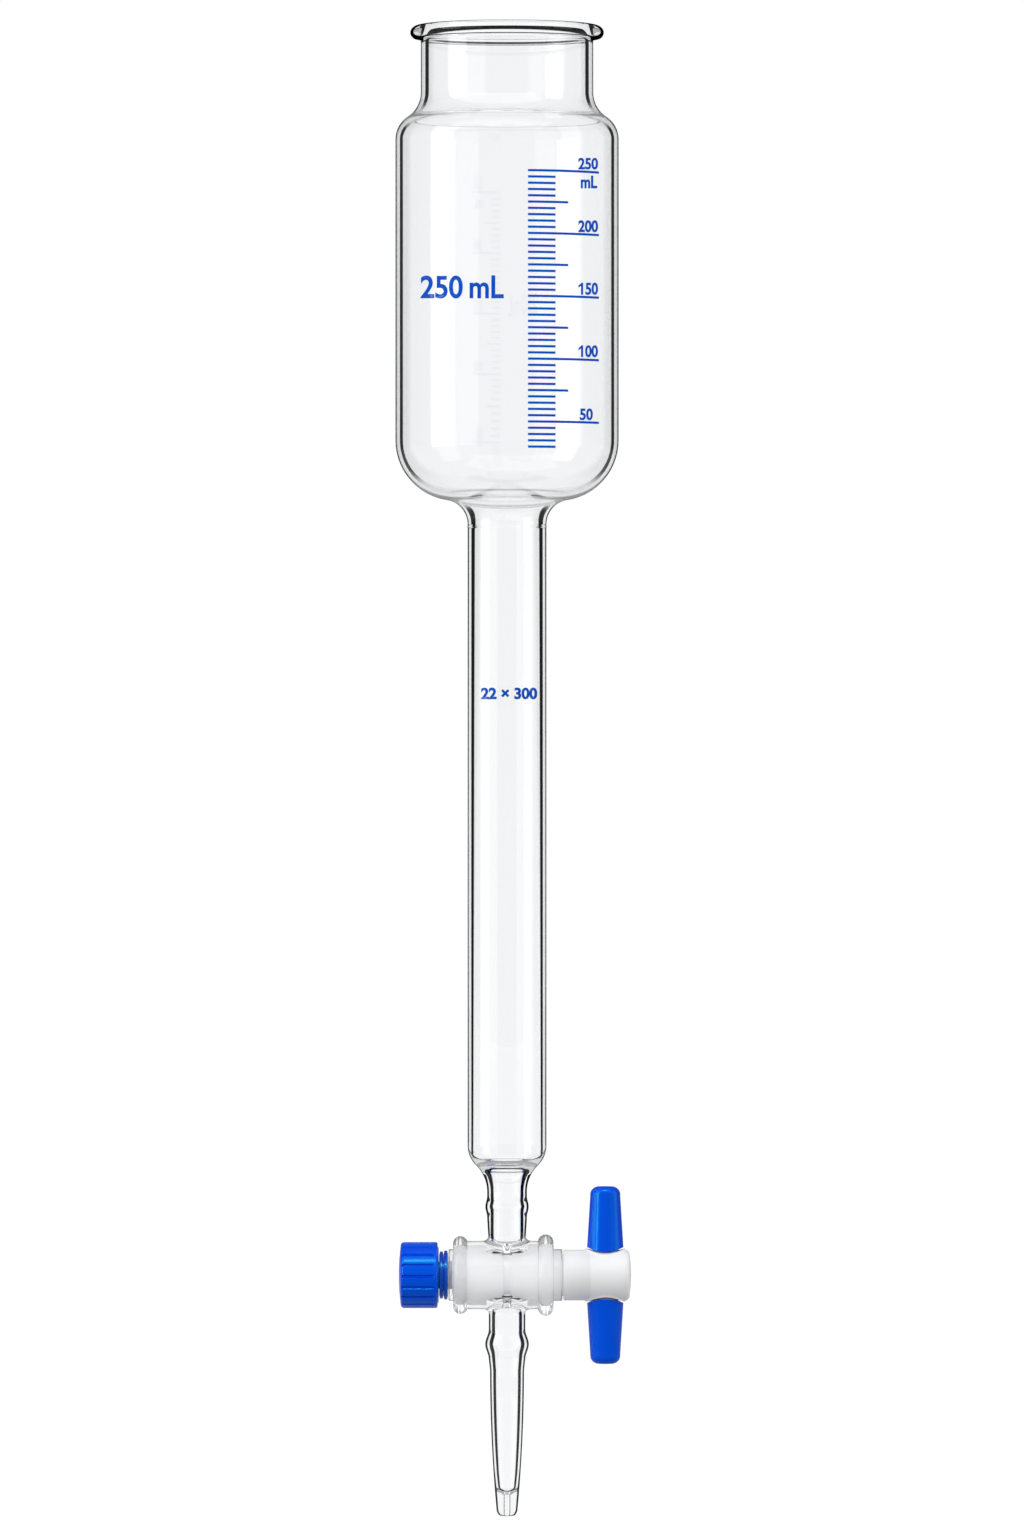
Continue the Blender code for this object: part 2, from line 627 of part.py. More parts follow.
def main():
    """Build the column."""
    empty_scene()
    parts = new_collection("glass_chromatography_column")
    guides = new_collection("guides")
    glass = new_material("borosilicate_glass", (0.95, 0.97, 0.98), 0.02, 1.0)
    white = new_material("white_plug", (0.88, 0.88, 0.87), 0.35)
    blue = new_material("blue_plastic", (0.0, 0.06, 0.68), 0.3)
    make_glass(parts, guides, glass)
    plug = make_plug(parts, guides, white)
    grips = [make_grip("grip_upper", 1, parts, guides, blue), make_grip("grip_lower", -1, parts, guides, blue)]
    washer = make_ring("friction_washer", WASHER_RADIUS, WASHER_PLACE, parts, blue)
    ring = make_ring("stem_ring", RING_RADIUS, RING_PLACE, parts, blue)
    nut = make_nut(parts, guides, blue)
    plug_axis = new_empty("plug_axis", (0.0, 0.0, STOPCOCK_AXIS), parts)
    nut_axis = new_empty("nut_axis", (NUT_PLACE, 0.0, STOPCOCK_AXIS), parts)
    parent_to(plug_axis, [plug, *grips, washer, ring, nut_axis])
    parent_to(nut_axis, [nut])


main()
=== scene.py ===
"""Glass chromatography column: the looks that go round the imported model.

The column is clear borosilicate glass with a printed scale. The stopcock under it has a white
fluoropolymer plug, two blue grips, a washer, a ring and a ribbed blue nut. All sizes are in metres,
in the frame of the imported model.
"""

import logging
import math
from collections.abc import Callable, Sequence
from dataclasses import dataclass, field
from enum import Enum

import bmesh
import bpy
from mathutils import Matrix, Vector


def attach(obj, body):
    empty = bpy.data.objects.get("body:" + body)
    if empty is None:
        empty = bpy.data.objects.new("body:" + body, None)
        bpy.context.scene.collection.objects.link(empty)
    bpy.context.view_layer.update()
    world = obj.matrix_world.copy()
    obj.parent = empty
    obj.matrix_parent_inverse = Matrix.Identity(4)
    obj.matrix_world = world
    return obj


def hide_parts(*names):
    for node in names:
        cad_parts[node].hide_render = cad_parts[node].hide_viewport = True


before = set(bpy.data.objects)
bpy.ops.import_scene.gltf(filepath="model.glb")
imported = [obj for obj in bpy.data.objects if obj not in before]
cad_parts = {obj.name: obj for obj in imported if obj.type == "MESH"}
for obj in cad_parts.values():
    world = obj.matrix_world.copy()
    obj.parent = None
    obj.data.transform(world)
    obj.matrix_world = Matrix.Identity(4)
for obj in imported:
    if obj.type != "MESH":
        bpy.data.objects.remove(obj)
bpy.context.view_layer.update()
LOG = logging.getLogger("column")

Point = tuple[float, float]
Shape = bmesh.types.BMesh
Colour = tuple[float, float, float]

STOPCOCK_AXIS = -0.1232
FULL_TURN = 2 * math.pi


# Sections of turned pieces


def arc(centre: Point, radii: Point, start: float, end: float, steps: int) -> list[Point]:
    """Follow an arc of a circle or an ellipse.

    Args:
        centre: Middle of the arc.
        radii: Radius along the first and the second coordinate.
        start: First angle in degrees.
        end: Last angle in degrees.
        steps: Number of equal parts.

    Returns:
        The points of the arc, both ends included.
    """
    turns = [math.radians(start + (end - start) * i / steps) for i in range(steps + 1)]
    return [(centre[0] + radii[0] * math.cos(t), centre[1] + radii[1] * math.sin(t)) for t in turns]


def ogee(wide: Point, narrow: Point, wide_round: float, steps: int) -> list[Point]:
    """Lead from a wide upright wall to a narrow one with two arcs that meet without a kink.

    Args:
        wide: Radius and height where the wide wall ends.
        narrow: Radius and height where the narrow wall starts.
        wide_round: Radius of the arc next to the wide wall.
        steps: Number of equal parts in each arc.

    Returns:
        The points from the wide wall to the narrow one.
    """
    step_in = wide[0] - narrow[0]
    rise = abs(narrow[1] - wide[1])
    side = 1.0 if narrow[1] > wide[1] else -1.0
    both = (rise**2 + step_in**2) / (2 * step_in)
    narrow_round = both - wide_round
    turn = math.degrees(math.asin(min(rise / both, 1.0)))
    if step_in > rise:
        turn = 180 - turn
    first = arc((wide[0] - wide_round, wide[1]), (wide_round, side * wide_round), 0, turn, steps)
    second = arc((narrow[0] + narrow_round, narrow[1]), (-narrow_round, -side * narrow_round), turn, 0, steps)
    return first + second[1:]


def swelling(radius: float, amount: float, middle: float, height: float, steps: int) -> list[Point]:
    """Run down a blown swelling on a wall.

    Args:
        radius: Radius of the plain wall.
        amount: How far the swelling stands out.
        middle: Height of its middle.
        height: Its whole height.
        steps: Number of equal parts.

    Returns:
        The points from its top to its bottom.
    """
    shares = [i / steps for i in range(steps + 1)]
    return [(radius + amount * math.sin(math.pi * t) ** 2, middle + height * (0.5 - t)) for t in shares]


def straight(start: Point, end: Point, steps: int) -> list[Point]:
    """Divide a straight wall into equal parts, both ends included."""
    shares = [i / steps for i in range(steps + 1)]
    return [(start[0] + (end[0] - start[0]) * t, start[1] + (end[1] - start[1]) * t) for t in shares]


def smooth_step(low: float, high: float, value: float) -> float:
    """Rise smoothly from 0 at low to 1 at high."""
    share = min(max((value - low) / (high - low), 0.0), 1.0)
    return share * share * (3 - 2 * share)


# Meshes


class Axis(Enum):
    """The line that a piece is turned about."""

    UPRIGHT = "upright"
    STOPCOCK = "stopcock"


def spun(section: Sequence[Point], steps: int, axis: Axis = Axis.UPRIGHT, ring: bool = True) -> Shape:
    """Spin a section into a closed body.

    Args:
        section: Points of (radius, place along the axis).
        steps: Number of equal turns in the full circle.
        axis: The line that the section turns about.
        ring: True for the closed section of a ring, False for one that starts and ends on the axis.

    Returns:
        The body, with its faces outwards.
    """
    shape = bmesh.new()
    verts = [shape.verts.new((max(radius, 0.0), 0.0, place)) for radius, place in section]
    edges = [shape.edges.new(pair) for pair in zip(verts, verts[1:])]
    if ring:
        edges.append(shape.edges.new((verts[-1], verts[0])))
    bmesh.ops.spin(shape, geom=verts + edges, cent=(0, 0, 0), axis=(0, 0, 1), angle=FULL_TURN, steps=steps,
                   use_merge=True, use_duplicate=False)
    bmesh.ops.remove_doubles(shape, verts=shape.verts, dist=1e-7)
    bmesh.ops.recalc_face_normals(shape, faces=shape.faces)
    if axis is Axis.STOPCOCK:
        place = Matrix.Translation((0, 0, STOPCOCK_AXIS)) @ Matrix.Rotation(math.pi / 2, 4, "Y")
        bmesh.ops.transform(shape, matrix=place, verts=shape.verts)
    return shape


def turn_about_stopcock(point: Vector) -> tuple[float, float]:
    """Give a point's distance from the stopcock's axis, and its turn about it."""
    up = point.z - STOPCOCK_AXIS
    return math.hypot(point.y, up), math.atan2(point.y, up)


def reshape_radius(shape: Shape, change: Callable[[float, float, float], float]) -> None:
    """Move points of a body on the stopcock's axis towards that axis or away from it.

    Args:
        shape: The body.
        change: Gives the new radius from the old radius, the turn and the place along the axis.
    """
    for vert in shape.verts:
        radius, turn = turn_about_stopcock(vert.co)
        if radius > 1e-6:
            new = change(radius, turn, vert.co.x)
            vert.co.y *= new / radius
            vert.co.z = STOPCOCK_AXIS + (vert.co.z - STOPCOCK_AXIS) * new / radius


def loft(rings: Sequence[Sequence[Vector]], ring: bool) -> Shape:
    """Bridge loops of points into a closed body.

    Args:
        rings: Loops with the same number of points, in order.
        ring: True joins the last loop to the first, False caps both ends.

    Returns:
        The body, with its faces outwards.
    """
    shape = bmesh.new()
    loops: list[list[bmesh.types.BMEdge]] = []
    for points in rings:
        verts = [shape.verts.new(point) for point in points]
        loops.append([shape.edges.new(pair) for pair in zip(verts, verts[1:] + verts[:1])])
    pairs = list(zip(loops, loops[1:]))
    if ring:
        pairs.append((loops[-1], loops[0]))
    else:
        for edges in (loops[0], loops[-1]):
            bmesh.ops.edgeloop_fill(shape, edges=edges)
    for first, second in pairs:
        bmesh.ops.bridge_loops(shape, edges=first + second)
    bmesh.ops.recalc_face_normals(shape, faces=shape.faces)
    return shape


def loose_object(shape: Shape, name: str) -> bpy.types.Object:
    """Turn a shape into an object, and free the shape.

    Args:
        shape: The shape, which is freed.
        name: Name of the object.

    Returns:
        The object.
    """
    mesh = bpy.data.meshes.new(name)
    shape.to_mesh(mesh)
    shape.free()
    made = bpy.data.objects.new(name, mesh)
    bpy.context.scene.collection.objects.link(made)
    return made


def combined(base: bpy.types.Object, other: bpy.types.Object, operation: str) -> bpy.types.Object:
    """Join or cut an object with another one, which is used up.

    Args:
        base: The object that is kept.
        other: The object that is added or taken away.
        operation: UNION or DIFFERENCE.

    Returns:
        The object that was kept.
    """
    step = base.modifiers.new(other.name, "BOOLEAN")
    step.operation = operation
    step.solver = "EXACT"
    step.object = other
    view = bpy.context.evaluated_depsgraph_get()
    mesh = bpy.data.meshes.new_from_object(base.evaluated_get(view))
    base.modifiers.remove(step)
    old = base.data
    base.data = mesh
    bpy.data.meshes.remove(old)
    bpy.data.objects.remove(other)
    return base


def smoothed(piece: bpy.types.Object, sharp_over: float) -> None:
    """Shade a piece smooth, and keep edges sharp where its faces meet at more than sharp_over degrees.

    Args:
        piece: The piece.
        sharp_over: The angle in degrees.
    """
    for face in piece.data.polygons:
        face.use_smooth = True
    piece.data.set_sharp_from_angle(angle=math.radians(sharp_over))


def saddle_ring(half: Point, host: float, lift: float, side: int, place: float, steps: int) -> list[Vector]:
    """Lay a loop round an upright branch, on a cylinder that lies along the stopcock.

    Args:
        half: Half the loop's size along X and along Y.
        host: Radius of the cylinder.
        lift: Distance off the cylinder.
        side: 1 for the upper side, -1 for the lower one.
        place: Place of the branch along X.
        steps: Number of points.

    Returns:
        The points of the loop.
    """
    points = []
    for i in range(steps):
        turn = FULL_TURN * i / steps
        y = half[1] * math.sin(turn)
        z = math.sqrt(max(host**2 - y**2, 0.0)) + lift
        points.append(Vector((place + half[0] * math.cos(turn), y, STOPCOCK_AXIS + side * z)))
    return points


def upright_rod(place: float, middle: float, radius: float, length: float) -> Shape:
    """Make an upright rod.

    Args:
        place: Its place along X.
        middle: Height of its middle.
        radius: Its radius.
        length: Its length.

    Returns:
        The rod.
    """
    shape = bmesh.new()
    bmesh.ops.create_cone(shape, cap_ends=True, segments=48, radius1=radius, radius2=radius, depth=length,
                          matrix=Matrix.Translation((place, 0, middle)))
    return shape


def placed(piece: bpy.types.Object, body: str, stands_for: str | None = None) -> None:
    """Hang a piece on its body, and report it.

    Args:
        piece: The finished object.
        body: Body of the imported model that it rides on.
        stands_for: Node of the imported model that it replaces.
    """
    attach(piece, body)
    if stands_for:
        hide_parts(stands_for)
    LOG.info("%s rides on %s with %d faces", piece.name, body, len(piece.data.polygons))


# Finishes


class Nodes:
    """A small hand for wiring one node tree."""

    def __init__(self, tree: bpy.types.NodeTree) -> None:
        """Keep the tree."""
        self.tree = tree

    def add(self, kind: str, **settings: object) -> bpy.types.Node:
        """Add a node of a kind, and set its properties.

        Args:
            kind: Type name of the node.
            settings: Its properties and their values.

        Returns:
            The node.
        """
        node = self.tree.nodes.new(kind)
        for name, value in settings.items():
            setattr(node, name, value)
        return node

    def feed(self, target: bpy.types.NodeSocket, value: object) -> None:
        """Link a socket, or set its constant.

        Args:
            target: The socket.
            value: The socket to link it to, or its constant.
        """
        if isinstance(value, bpy.types.NodeSocket):
            self.tree.links.new(value, target)
        else:
            target.default_value = value

    def math(self, operation: str, *values: object, clamp: bool = False) -> bpy.types.NodeSocket:
        """Work out a number from sockets and constants.

        Args:
            operation: Name of the operation.
            values: The sockets and constants, in order.
            clamp: True holds the result between 0 and 1.

        Returns:
            The socket that gives it.
        """
        node = self.add("ShaderNodeMath", operation=operation, use_clamp=clamp)
        for target, value in zip(node.inputs, values):
            self.feed(target, value)
        return node.outputs[0]

    def ramp(self, value: object, low: object, high: object, to_low: float = 0.0, to_high: float = 1.0,
             smooth: bool = True) -> bpy.types.NodeSocket:
        """Map a number from one range to another, held at both ends.

        Args:
            value: The number.
            low: Start of its range.
            high: End of its range.
            to_low: Result at the start.
            to_high: Result at the end.
            smooth: True eases both ends, False is a straight line.

        Returns:
            The socket that gives it.
        """
        node = self.add("ShaderNodeMapRange", interpolation_type="SMOOTHSTEP" if smooth else "LINEAR")
        for target, given in zip(node.inputs, (value, low, high, to_low, to_high)):
            self.feed(target, given)
        return node.outputs[0]

    def mix(self, share: object, first: object, second: object) -> bpy.types.NodeSocket:
        """Blend two colours.

        Args:
            share: Share of the second colour.
            first: The first colour, or its socket.
            second: The second colour, or its socket.

        Returns:
            The socket that gives it.
        """
        node = self.add("ShaderNodeMix", data_type="RGBA")
        self.feed(node.inputs["Factor"], share)
        for target, value in ((node.inputs[6], first), (node.inputs[7], second)):
            self.feed(target, (*value, 1.0) if isinstance(value, tuple) else value)
        return node.outputs[2]

    def noise(self, place: bpy.types.NodeSocket, scale: float, detail: float = 2.0) -> bpy.types.NodeSocket:
        """Read a noise pattern at a place.

        Args:
            place: The place.
            scale: Fineness of the pattern.
            detail: Number of finer layers in it.

        Returns:
            The socket that gives it.
        """
        node = self.add("ShaderNodeTexNoise")
        self.feed(node.inputs["Vector"], place)
        self.feed(node.inputs["Scale"], scale)
        self.feed(node.inputs["Detail"], detail)
        return node.outputs["Fac"]

    def attribute(self, name: str) -> bpy.types.NodeSocket:
        """Read a number that is stored on the points of the mesh."""
        return self.add("ShaderNodeAttribute", attribute_name=name).outputs["Fac"]


def new_group(name: str, numbers: dict[str, float],
              outputs: dict[str, str]) -> tuple[bpy.types.NodeTree, Nodes]:
    """Start a node group.

    Args:
        name: Name of the group.
        numbers: Named number inputs with their usual values.
        outputs: Named outputs with their socket types.

    Returns:
        The group, and a hand for wiring it.
    """
    group = bpy.data.node_groups.new(name, "ShaderNodeTree")
    for label, value in numbers.items():
        socket = group.interface.new_socket(name=label, in_out="INPUT", socket_type="NodeSocketFloat")
        socket.default_value = value
    for label, kind in outputs.items():
        group.interface.new_socket(name=label, in_out="OUTPUT", socket_type=kind)
    return group, Nodes(group)


class Effects:
    """The shared effects: one node group each, built once."""

    # Over this slant, sight from inside the glass is thrown back by its wall, and there is no painted shade
    # line
    full_slant: float = 1.0005

    # Fineness of the worn patches, and the pointedness of raised edges and of grooves
    patch_scale: float = 700.0
    patch_detail: float = 4.0
    raised: Point = (0.51, 0.60)
    hollow: Point = (0.49, 0.42)

    def __init__(self) -> None:
        """Build the groups."""
        self.painted_edge_shade = self._edge_line()
        self.moulding = self._moulding()
        self.handling = self._handling()

    def _edge_line(self) -> bpy.types.NodeTree:
        """Mask the band of slanting sight next to the outline of a glass wall, where dark shade is painted.

        Returns:
            The group.
        """
        numbers = {"Slant": 0.0, "Share": 0.03, "Softness": 0.3}
        group, hand = new_group("painted_edge_shade", numbers, {"Mask": "NodeSocketFloat"})
        given = hand.add("NodeGroupInput")
        soft = hand.math("MULTIPLY", given.outputs["Share"], given.outputs["Softness"])
        start = hand.math("SUBTRACT", 1.0, given.outputs["Share"])
        low = hand.math("SUBTRACT", start, soft)
        high = hand.math("ADD", start, soft)
        rise = hand.ramp(given.outputs["Slant"], low, high)
        inside = hand.math("LESS_THAN", given.outputs["Slant"], self.full_slant)
        result = hand.add("NodeGroupOutput")
        hand.feed(result.inputs["Mask"], hand.math("MULTIPLY", rise, inside))
        return group

    def _moulding(self) -> bpy.types.NodeTree:
        """Give the height and the tone of fine grain on moulded plastic.

        Returns:
            The group.
        """
        group, hand = new_group("moulding", {"Grain Scale": 4000.0, "Cloud Scale": 90.0},
                                {"Height": "NodeSocketFloat", "Tone": "NodeSocketFloat"})
        given = hand.add("NodeGroupInput")
        place = hand.add("ShaderNodeTexCoord").outputs["Object"]
        grain = hand.add("ShaderNodeTexNoise")
        hand.feed(grain.inputs["Vector"], place)
        hand.feed(grain.inputs["Scale"], given.outputs["Grain Scale"])
        cloud = hand.add("ShaderNodeTexNoise")
        hand.feed(cloud.inputs["Vector"], place)
        hand.feed(cloud.inputs["Scale"], given.outputs["Cloud Scale"])
        result = hand.add("NodeGroupOutput")
        hand.feed(result.inputs["Height"], grain.outputs["Fac"])
        hand.feed(result.inputs["Tone"], cloud.outputs["Fac"])
        return group

    def _handling(self) -> bpy.types.NodeTree:
        """Mask edges rubbed pale by use, and the dust that gathers in grooves.

        Returns:
            The group.
        """
        group, hand = new_group("handling", {"Amount": 0.3, "Sharpness": 1.0},
                                {"Rubbed": "NodeSocketFloat", "Dusty": "NodeSocketFloat"})
        given = hand.add("NodeGroupInput")
        edge = hand.add("ShaderNodeNewGeometry").outputs["Pointiness"]
        place = hand.add("ShaderNodeTexCoord").outputs["Object"]
        patches = hand.noise(place, self.patch_scale, self.patch_detail)
        gain = hand.math("MULTIPLY", given.outputs["Sharpness"], given.outputs["Amount"])
        result = hand.add("NodeGroupOutput")
        for label, bounds in (("Rubbed", self.raised), ("Dusty", self.hollow)):
            worn = hand.math("MULTIPLY", hand.ramp(edge, *bounds), patches)
            hand.feed(result.inputs[label], hand.math("MULTIPLY", worn, gain))
        return group


def use_group(hand: Nodes, group: bpy.types.NodeTree, **values: object) -> bpy.types.Node:
    """Place a node group in a material, with values for its inputs.

    Args:
        hand: The hand for the material's nodes.
        group: The node group.
        values: Values by input name, with a low line for each space.

    Returns:
        The node.
    """
    node = hand.add("ShaderNodeGroup")
    node.node_tree = group
    for name, value in values.items():
        hand.feed(node.inputs[name.replace("_", " ")], value)
    return node


def new_material(name: str) -> tuple[bpy.types.Material, Nodes, bpy.types.Node]:
    """Start a material.

    Args:
        name: Name of the material.

    Returns:
        The material, a hand for wiring it, and its output node.
    """
    material = bpy.data.materials.new(name)
    material.use_nodes = True
    tree = material.node_tree
    tree.nodes.clear()
    hand = Nodes(tree)
    return material, hand, hand.add("ShaderNodeOutputMaterial")


@dataclass(frozen=True)
class GlassFinish:
    """Clear borosilicate glass with dark shade lines painted along its outlines."""

    name: str
    ior: float = 1.47
    tint: Colour = (0.975, 0.978, 0.981)
    # line is the colour of the painted dark shade along the outlines; softness sets how soft those painted
    # lines are, and the next two numbers the darkness and softness of a painted grey shade band inside them
    line: Colour = (0.0, 0.0, 0.0)
    shadow: Colour = (0.93, 0.93, 0.93)
    softness: float = 0.12
    painted_band: float = 0.06
    painted_band_softness: float = 0.35
    bounces: float = 1.5

    def material(self, effects: Effects) -> bpy.types.Material:
        """Build the material, which paints dark shade lines and a grey shade band into the glass's tint along
        its outlines, reading their width and depth from the mesh.

        Args:
            effects: The shared effects.

        Returns:
            The material.
        """
        material, hand, output = new_material(self.name)
        # Painted shade: the slant at which the surface is seen, with widths and depths from the mesh, says
        # where dark lines are painted into the glass's tint
        facing = hand.add("ShaderNodeLayerWeight")
        facing.inputs["Blend"].default_value = 0.5
        toward = hand.math("SUBTRACT", 1.0, facing.outputs["Facing"])
        slant = hand.math("SQRT", hand.math("SUBTRACT", 1.0, hand.math("MULTIPLY", toward, toward)))
        behind = hand.add("ShaderNodeNewGeometry").outputs["Backfacing"]
        bend = hand.math("ADD", 1.0, hand.math("MULTIPLY", behind, self.ior - 1))
        outside = hand.math("MULTIPLY", slant, bend)
        share = hand.attribute("line_share")
        inside = hand.attribute("line_inside")
        depth = hand.attribute("line_depth")
        wider = hand.math("MULTIPLY", behind, hand.math("SUBTRACT", inside, share))
        share = hand.math("ADD", share, wider)
        line = use_group(hand, effects.painted_edge_shade, Slant=outside, Share=share, Softness=self.softness)
        # A wider, softer painted grey shade band inside the dark line
        wide = hand.attribute("line_painted_band")
        painted_band = use_group(hand, effects.painted_edge_shade, Slant=outside, Share=wide, Softness=self.painted_band_softness)
        band = hand.math("MULTIPLY", painted_band.outputs["Mask"], self.painted_band)
        shade = hand.math("MULTIPLY", hand.math("MAXIMUM", line.outputs["Mask"], band), depth)
        glass = hand.add("ShaderNodeBsdfGlass")
        # The painted shade darkens the glass's tint towards the line colour
        hand.feed(glass.inputs["Color"], hand.mix(shade, self.tint, self.line))
        glass.inputs["Roughness"].default_value = 0.0
        glass.inputs["IOR"].default_value = self.ior
        clear = hand.add("ShaderNodeBsdfTransparent")
        clear.inputs["Color"].default_value = (*self.shadow, 1.0)
        blend = hand.add("ShaderNodeMixShader")
        path = hand.add("ShaderNodeLightPath")
        lost = hand.math("GREATER_THAN", path.outputs["Glossy Depth"], self.bounces)
        hand.feed(blend.inputs[0], hand.math("MAXIMUM", path.outputs["Is Shadow Ray"], lost))
        hand.feed(blend.inputs[1], glass.outputs[0])
        hand.feed(blend.inputs[2], clear.outputs[0])
        hand.feed(output.inputs["Surface"], blend.outputs[0])
        return material


@dataclass(frozen=True)
class PlasticFinish:
    """Moulded plastic with fine grain, light handling wear and a little dust."""

    name: str
    colour: Colour
    roughness: float
    grain: float = 0.02
    wear: float = 0.25
    shine: float = 0.5
    shine_tint: Colour = (1.0, 1.0, 1.0)
    dust: Colour = (0.62, 0.63, 0.66)
    pale_share: float = 0.25
    dark_share: float = 0.94
    tone_range: Point = (0.3, 0.7)
    rough_spread: Point = (-0.03, 0.05)
    grain_height: float = 0.0001

    def material(self, effects: Effects) -> bpy.types.Material:
        """Build the material.

        Args:
            effects: The shared effects.

        Returns:
            The material.
        """
        material, hand, output = new_material(self.name)
        surface = use_group(hand, effects.moulding)
        wear = use_group(hand, effects.handling, Amount=self.wear)
        pale = tuple(c + (1 - c) * self.pale_share for c in self.colour)
        darker = tuple(c * self.dark_share for c in self.colour)
        body = hand.mix(surface.outputs["Tone"], darker, self.colour)
        body = hand.mix(wear.outputs["Rubbed"], body, pale)
        body = hand.mix(wear.outputs["Dusty"], body, self.dust)
        shader = hand.add("ShaderNodeBsdfPrincipled")
        hand.feed(shader.inputs["Base Color"], body)
        spread = (self.roughness + change for change in self.rough_spread)
        rough = hand.ramp(surface.outputs["Tone"], *self.tone_range, *spread)
        rough = hand.math("ADD", rough, wear.outputs["Rubbed"], clamp=True)
        hand.feed(shader.inputs["Roughness"], rough)
        shader.inputs["Specular IOR Level"].default_value = self.shine
        shader.inputs["Specular Tint"].default_value = (*self.shine_tint, 1.0)
        bump = hand.add("ShaderNodeBump")
        bump.inputs["Strength"].default_value = self.grain
        bump.inputs["Distance"].default_value = self.grain_height
        hand.feed(bump.inputs["Height"], surface.outputs["Height"])
        hand.feed(shader.inputs["Normal"], bump.outputs["Normal"])
        hand.feed(output.inputs["Surface"], shader.outputs[0])
        return material


@dataclass(frozen=True)
class InkFinish:
    """Fired blue ink, slightly uneven where the screen laid it on."""

    name: str = "fired_ink"
    colour: Colour = (0.0, 0.080, 0.54)
    thinner: Colour = (0.01, 0.04, 0.12)
    shine: float = 0.05
    cloud_scale: float = 900.0
    cloud_range: Point = (0.45, 0.80)
    grain_scale: float = 2500.0
    grain_range: Point = (0.3, 0.7)
    rough_range: Point = (0.35, 0.50)

    def material(self) -> bpy.types.Material:
        """Build the material.

        Returns:
            The material.
        """
        material, hand, output = new_material(self.name)
        place = hand.add("ShaderNodeTexCoord").outputs["Object"]
        thin = tuple(full + more for full, more in zip(self.colour, self.thinner))
        shader = hand.add("ShaderNodeBsdfPrincipled")
        cloud = hand.ramp(hand.noise(place, self.cloud_scale), *self.cloud_range)
        hand.feed(shader.inputs["Base Color"], hand.mix(cloud, self.colour, thin))
        rough = hand.ramp(hand.noise(place, self.grain_scale), *self.grain_range, *self.rough_range)
        hand.feed(shader.inputs["Roughness"], rough)
        shader.inputs["Specular IOR Level"].default_value = self.shine
        hand.feed(output.inputs["Surface"], shader.outputs[0])
        return material


# The glass column


@dataclass(frozen=True)
class Line:
    """The painted dark shade line along an outline of the glass.

    Its width is a share of the radius, and within is that share when it is seen from inside the glass.
    """

    width: float
    depth: float
    within: float


@dataclass(frozen=True)
class Fold:
    """A fold rolled into the rim.

    line_out is the width of the dark shade painted on its side away from the axis, and line_in on the other
    side.
    """

    middle: Point
    half: Point
    line_out: float
    line_in: float


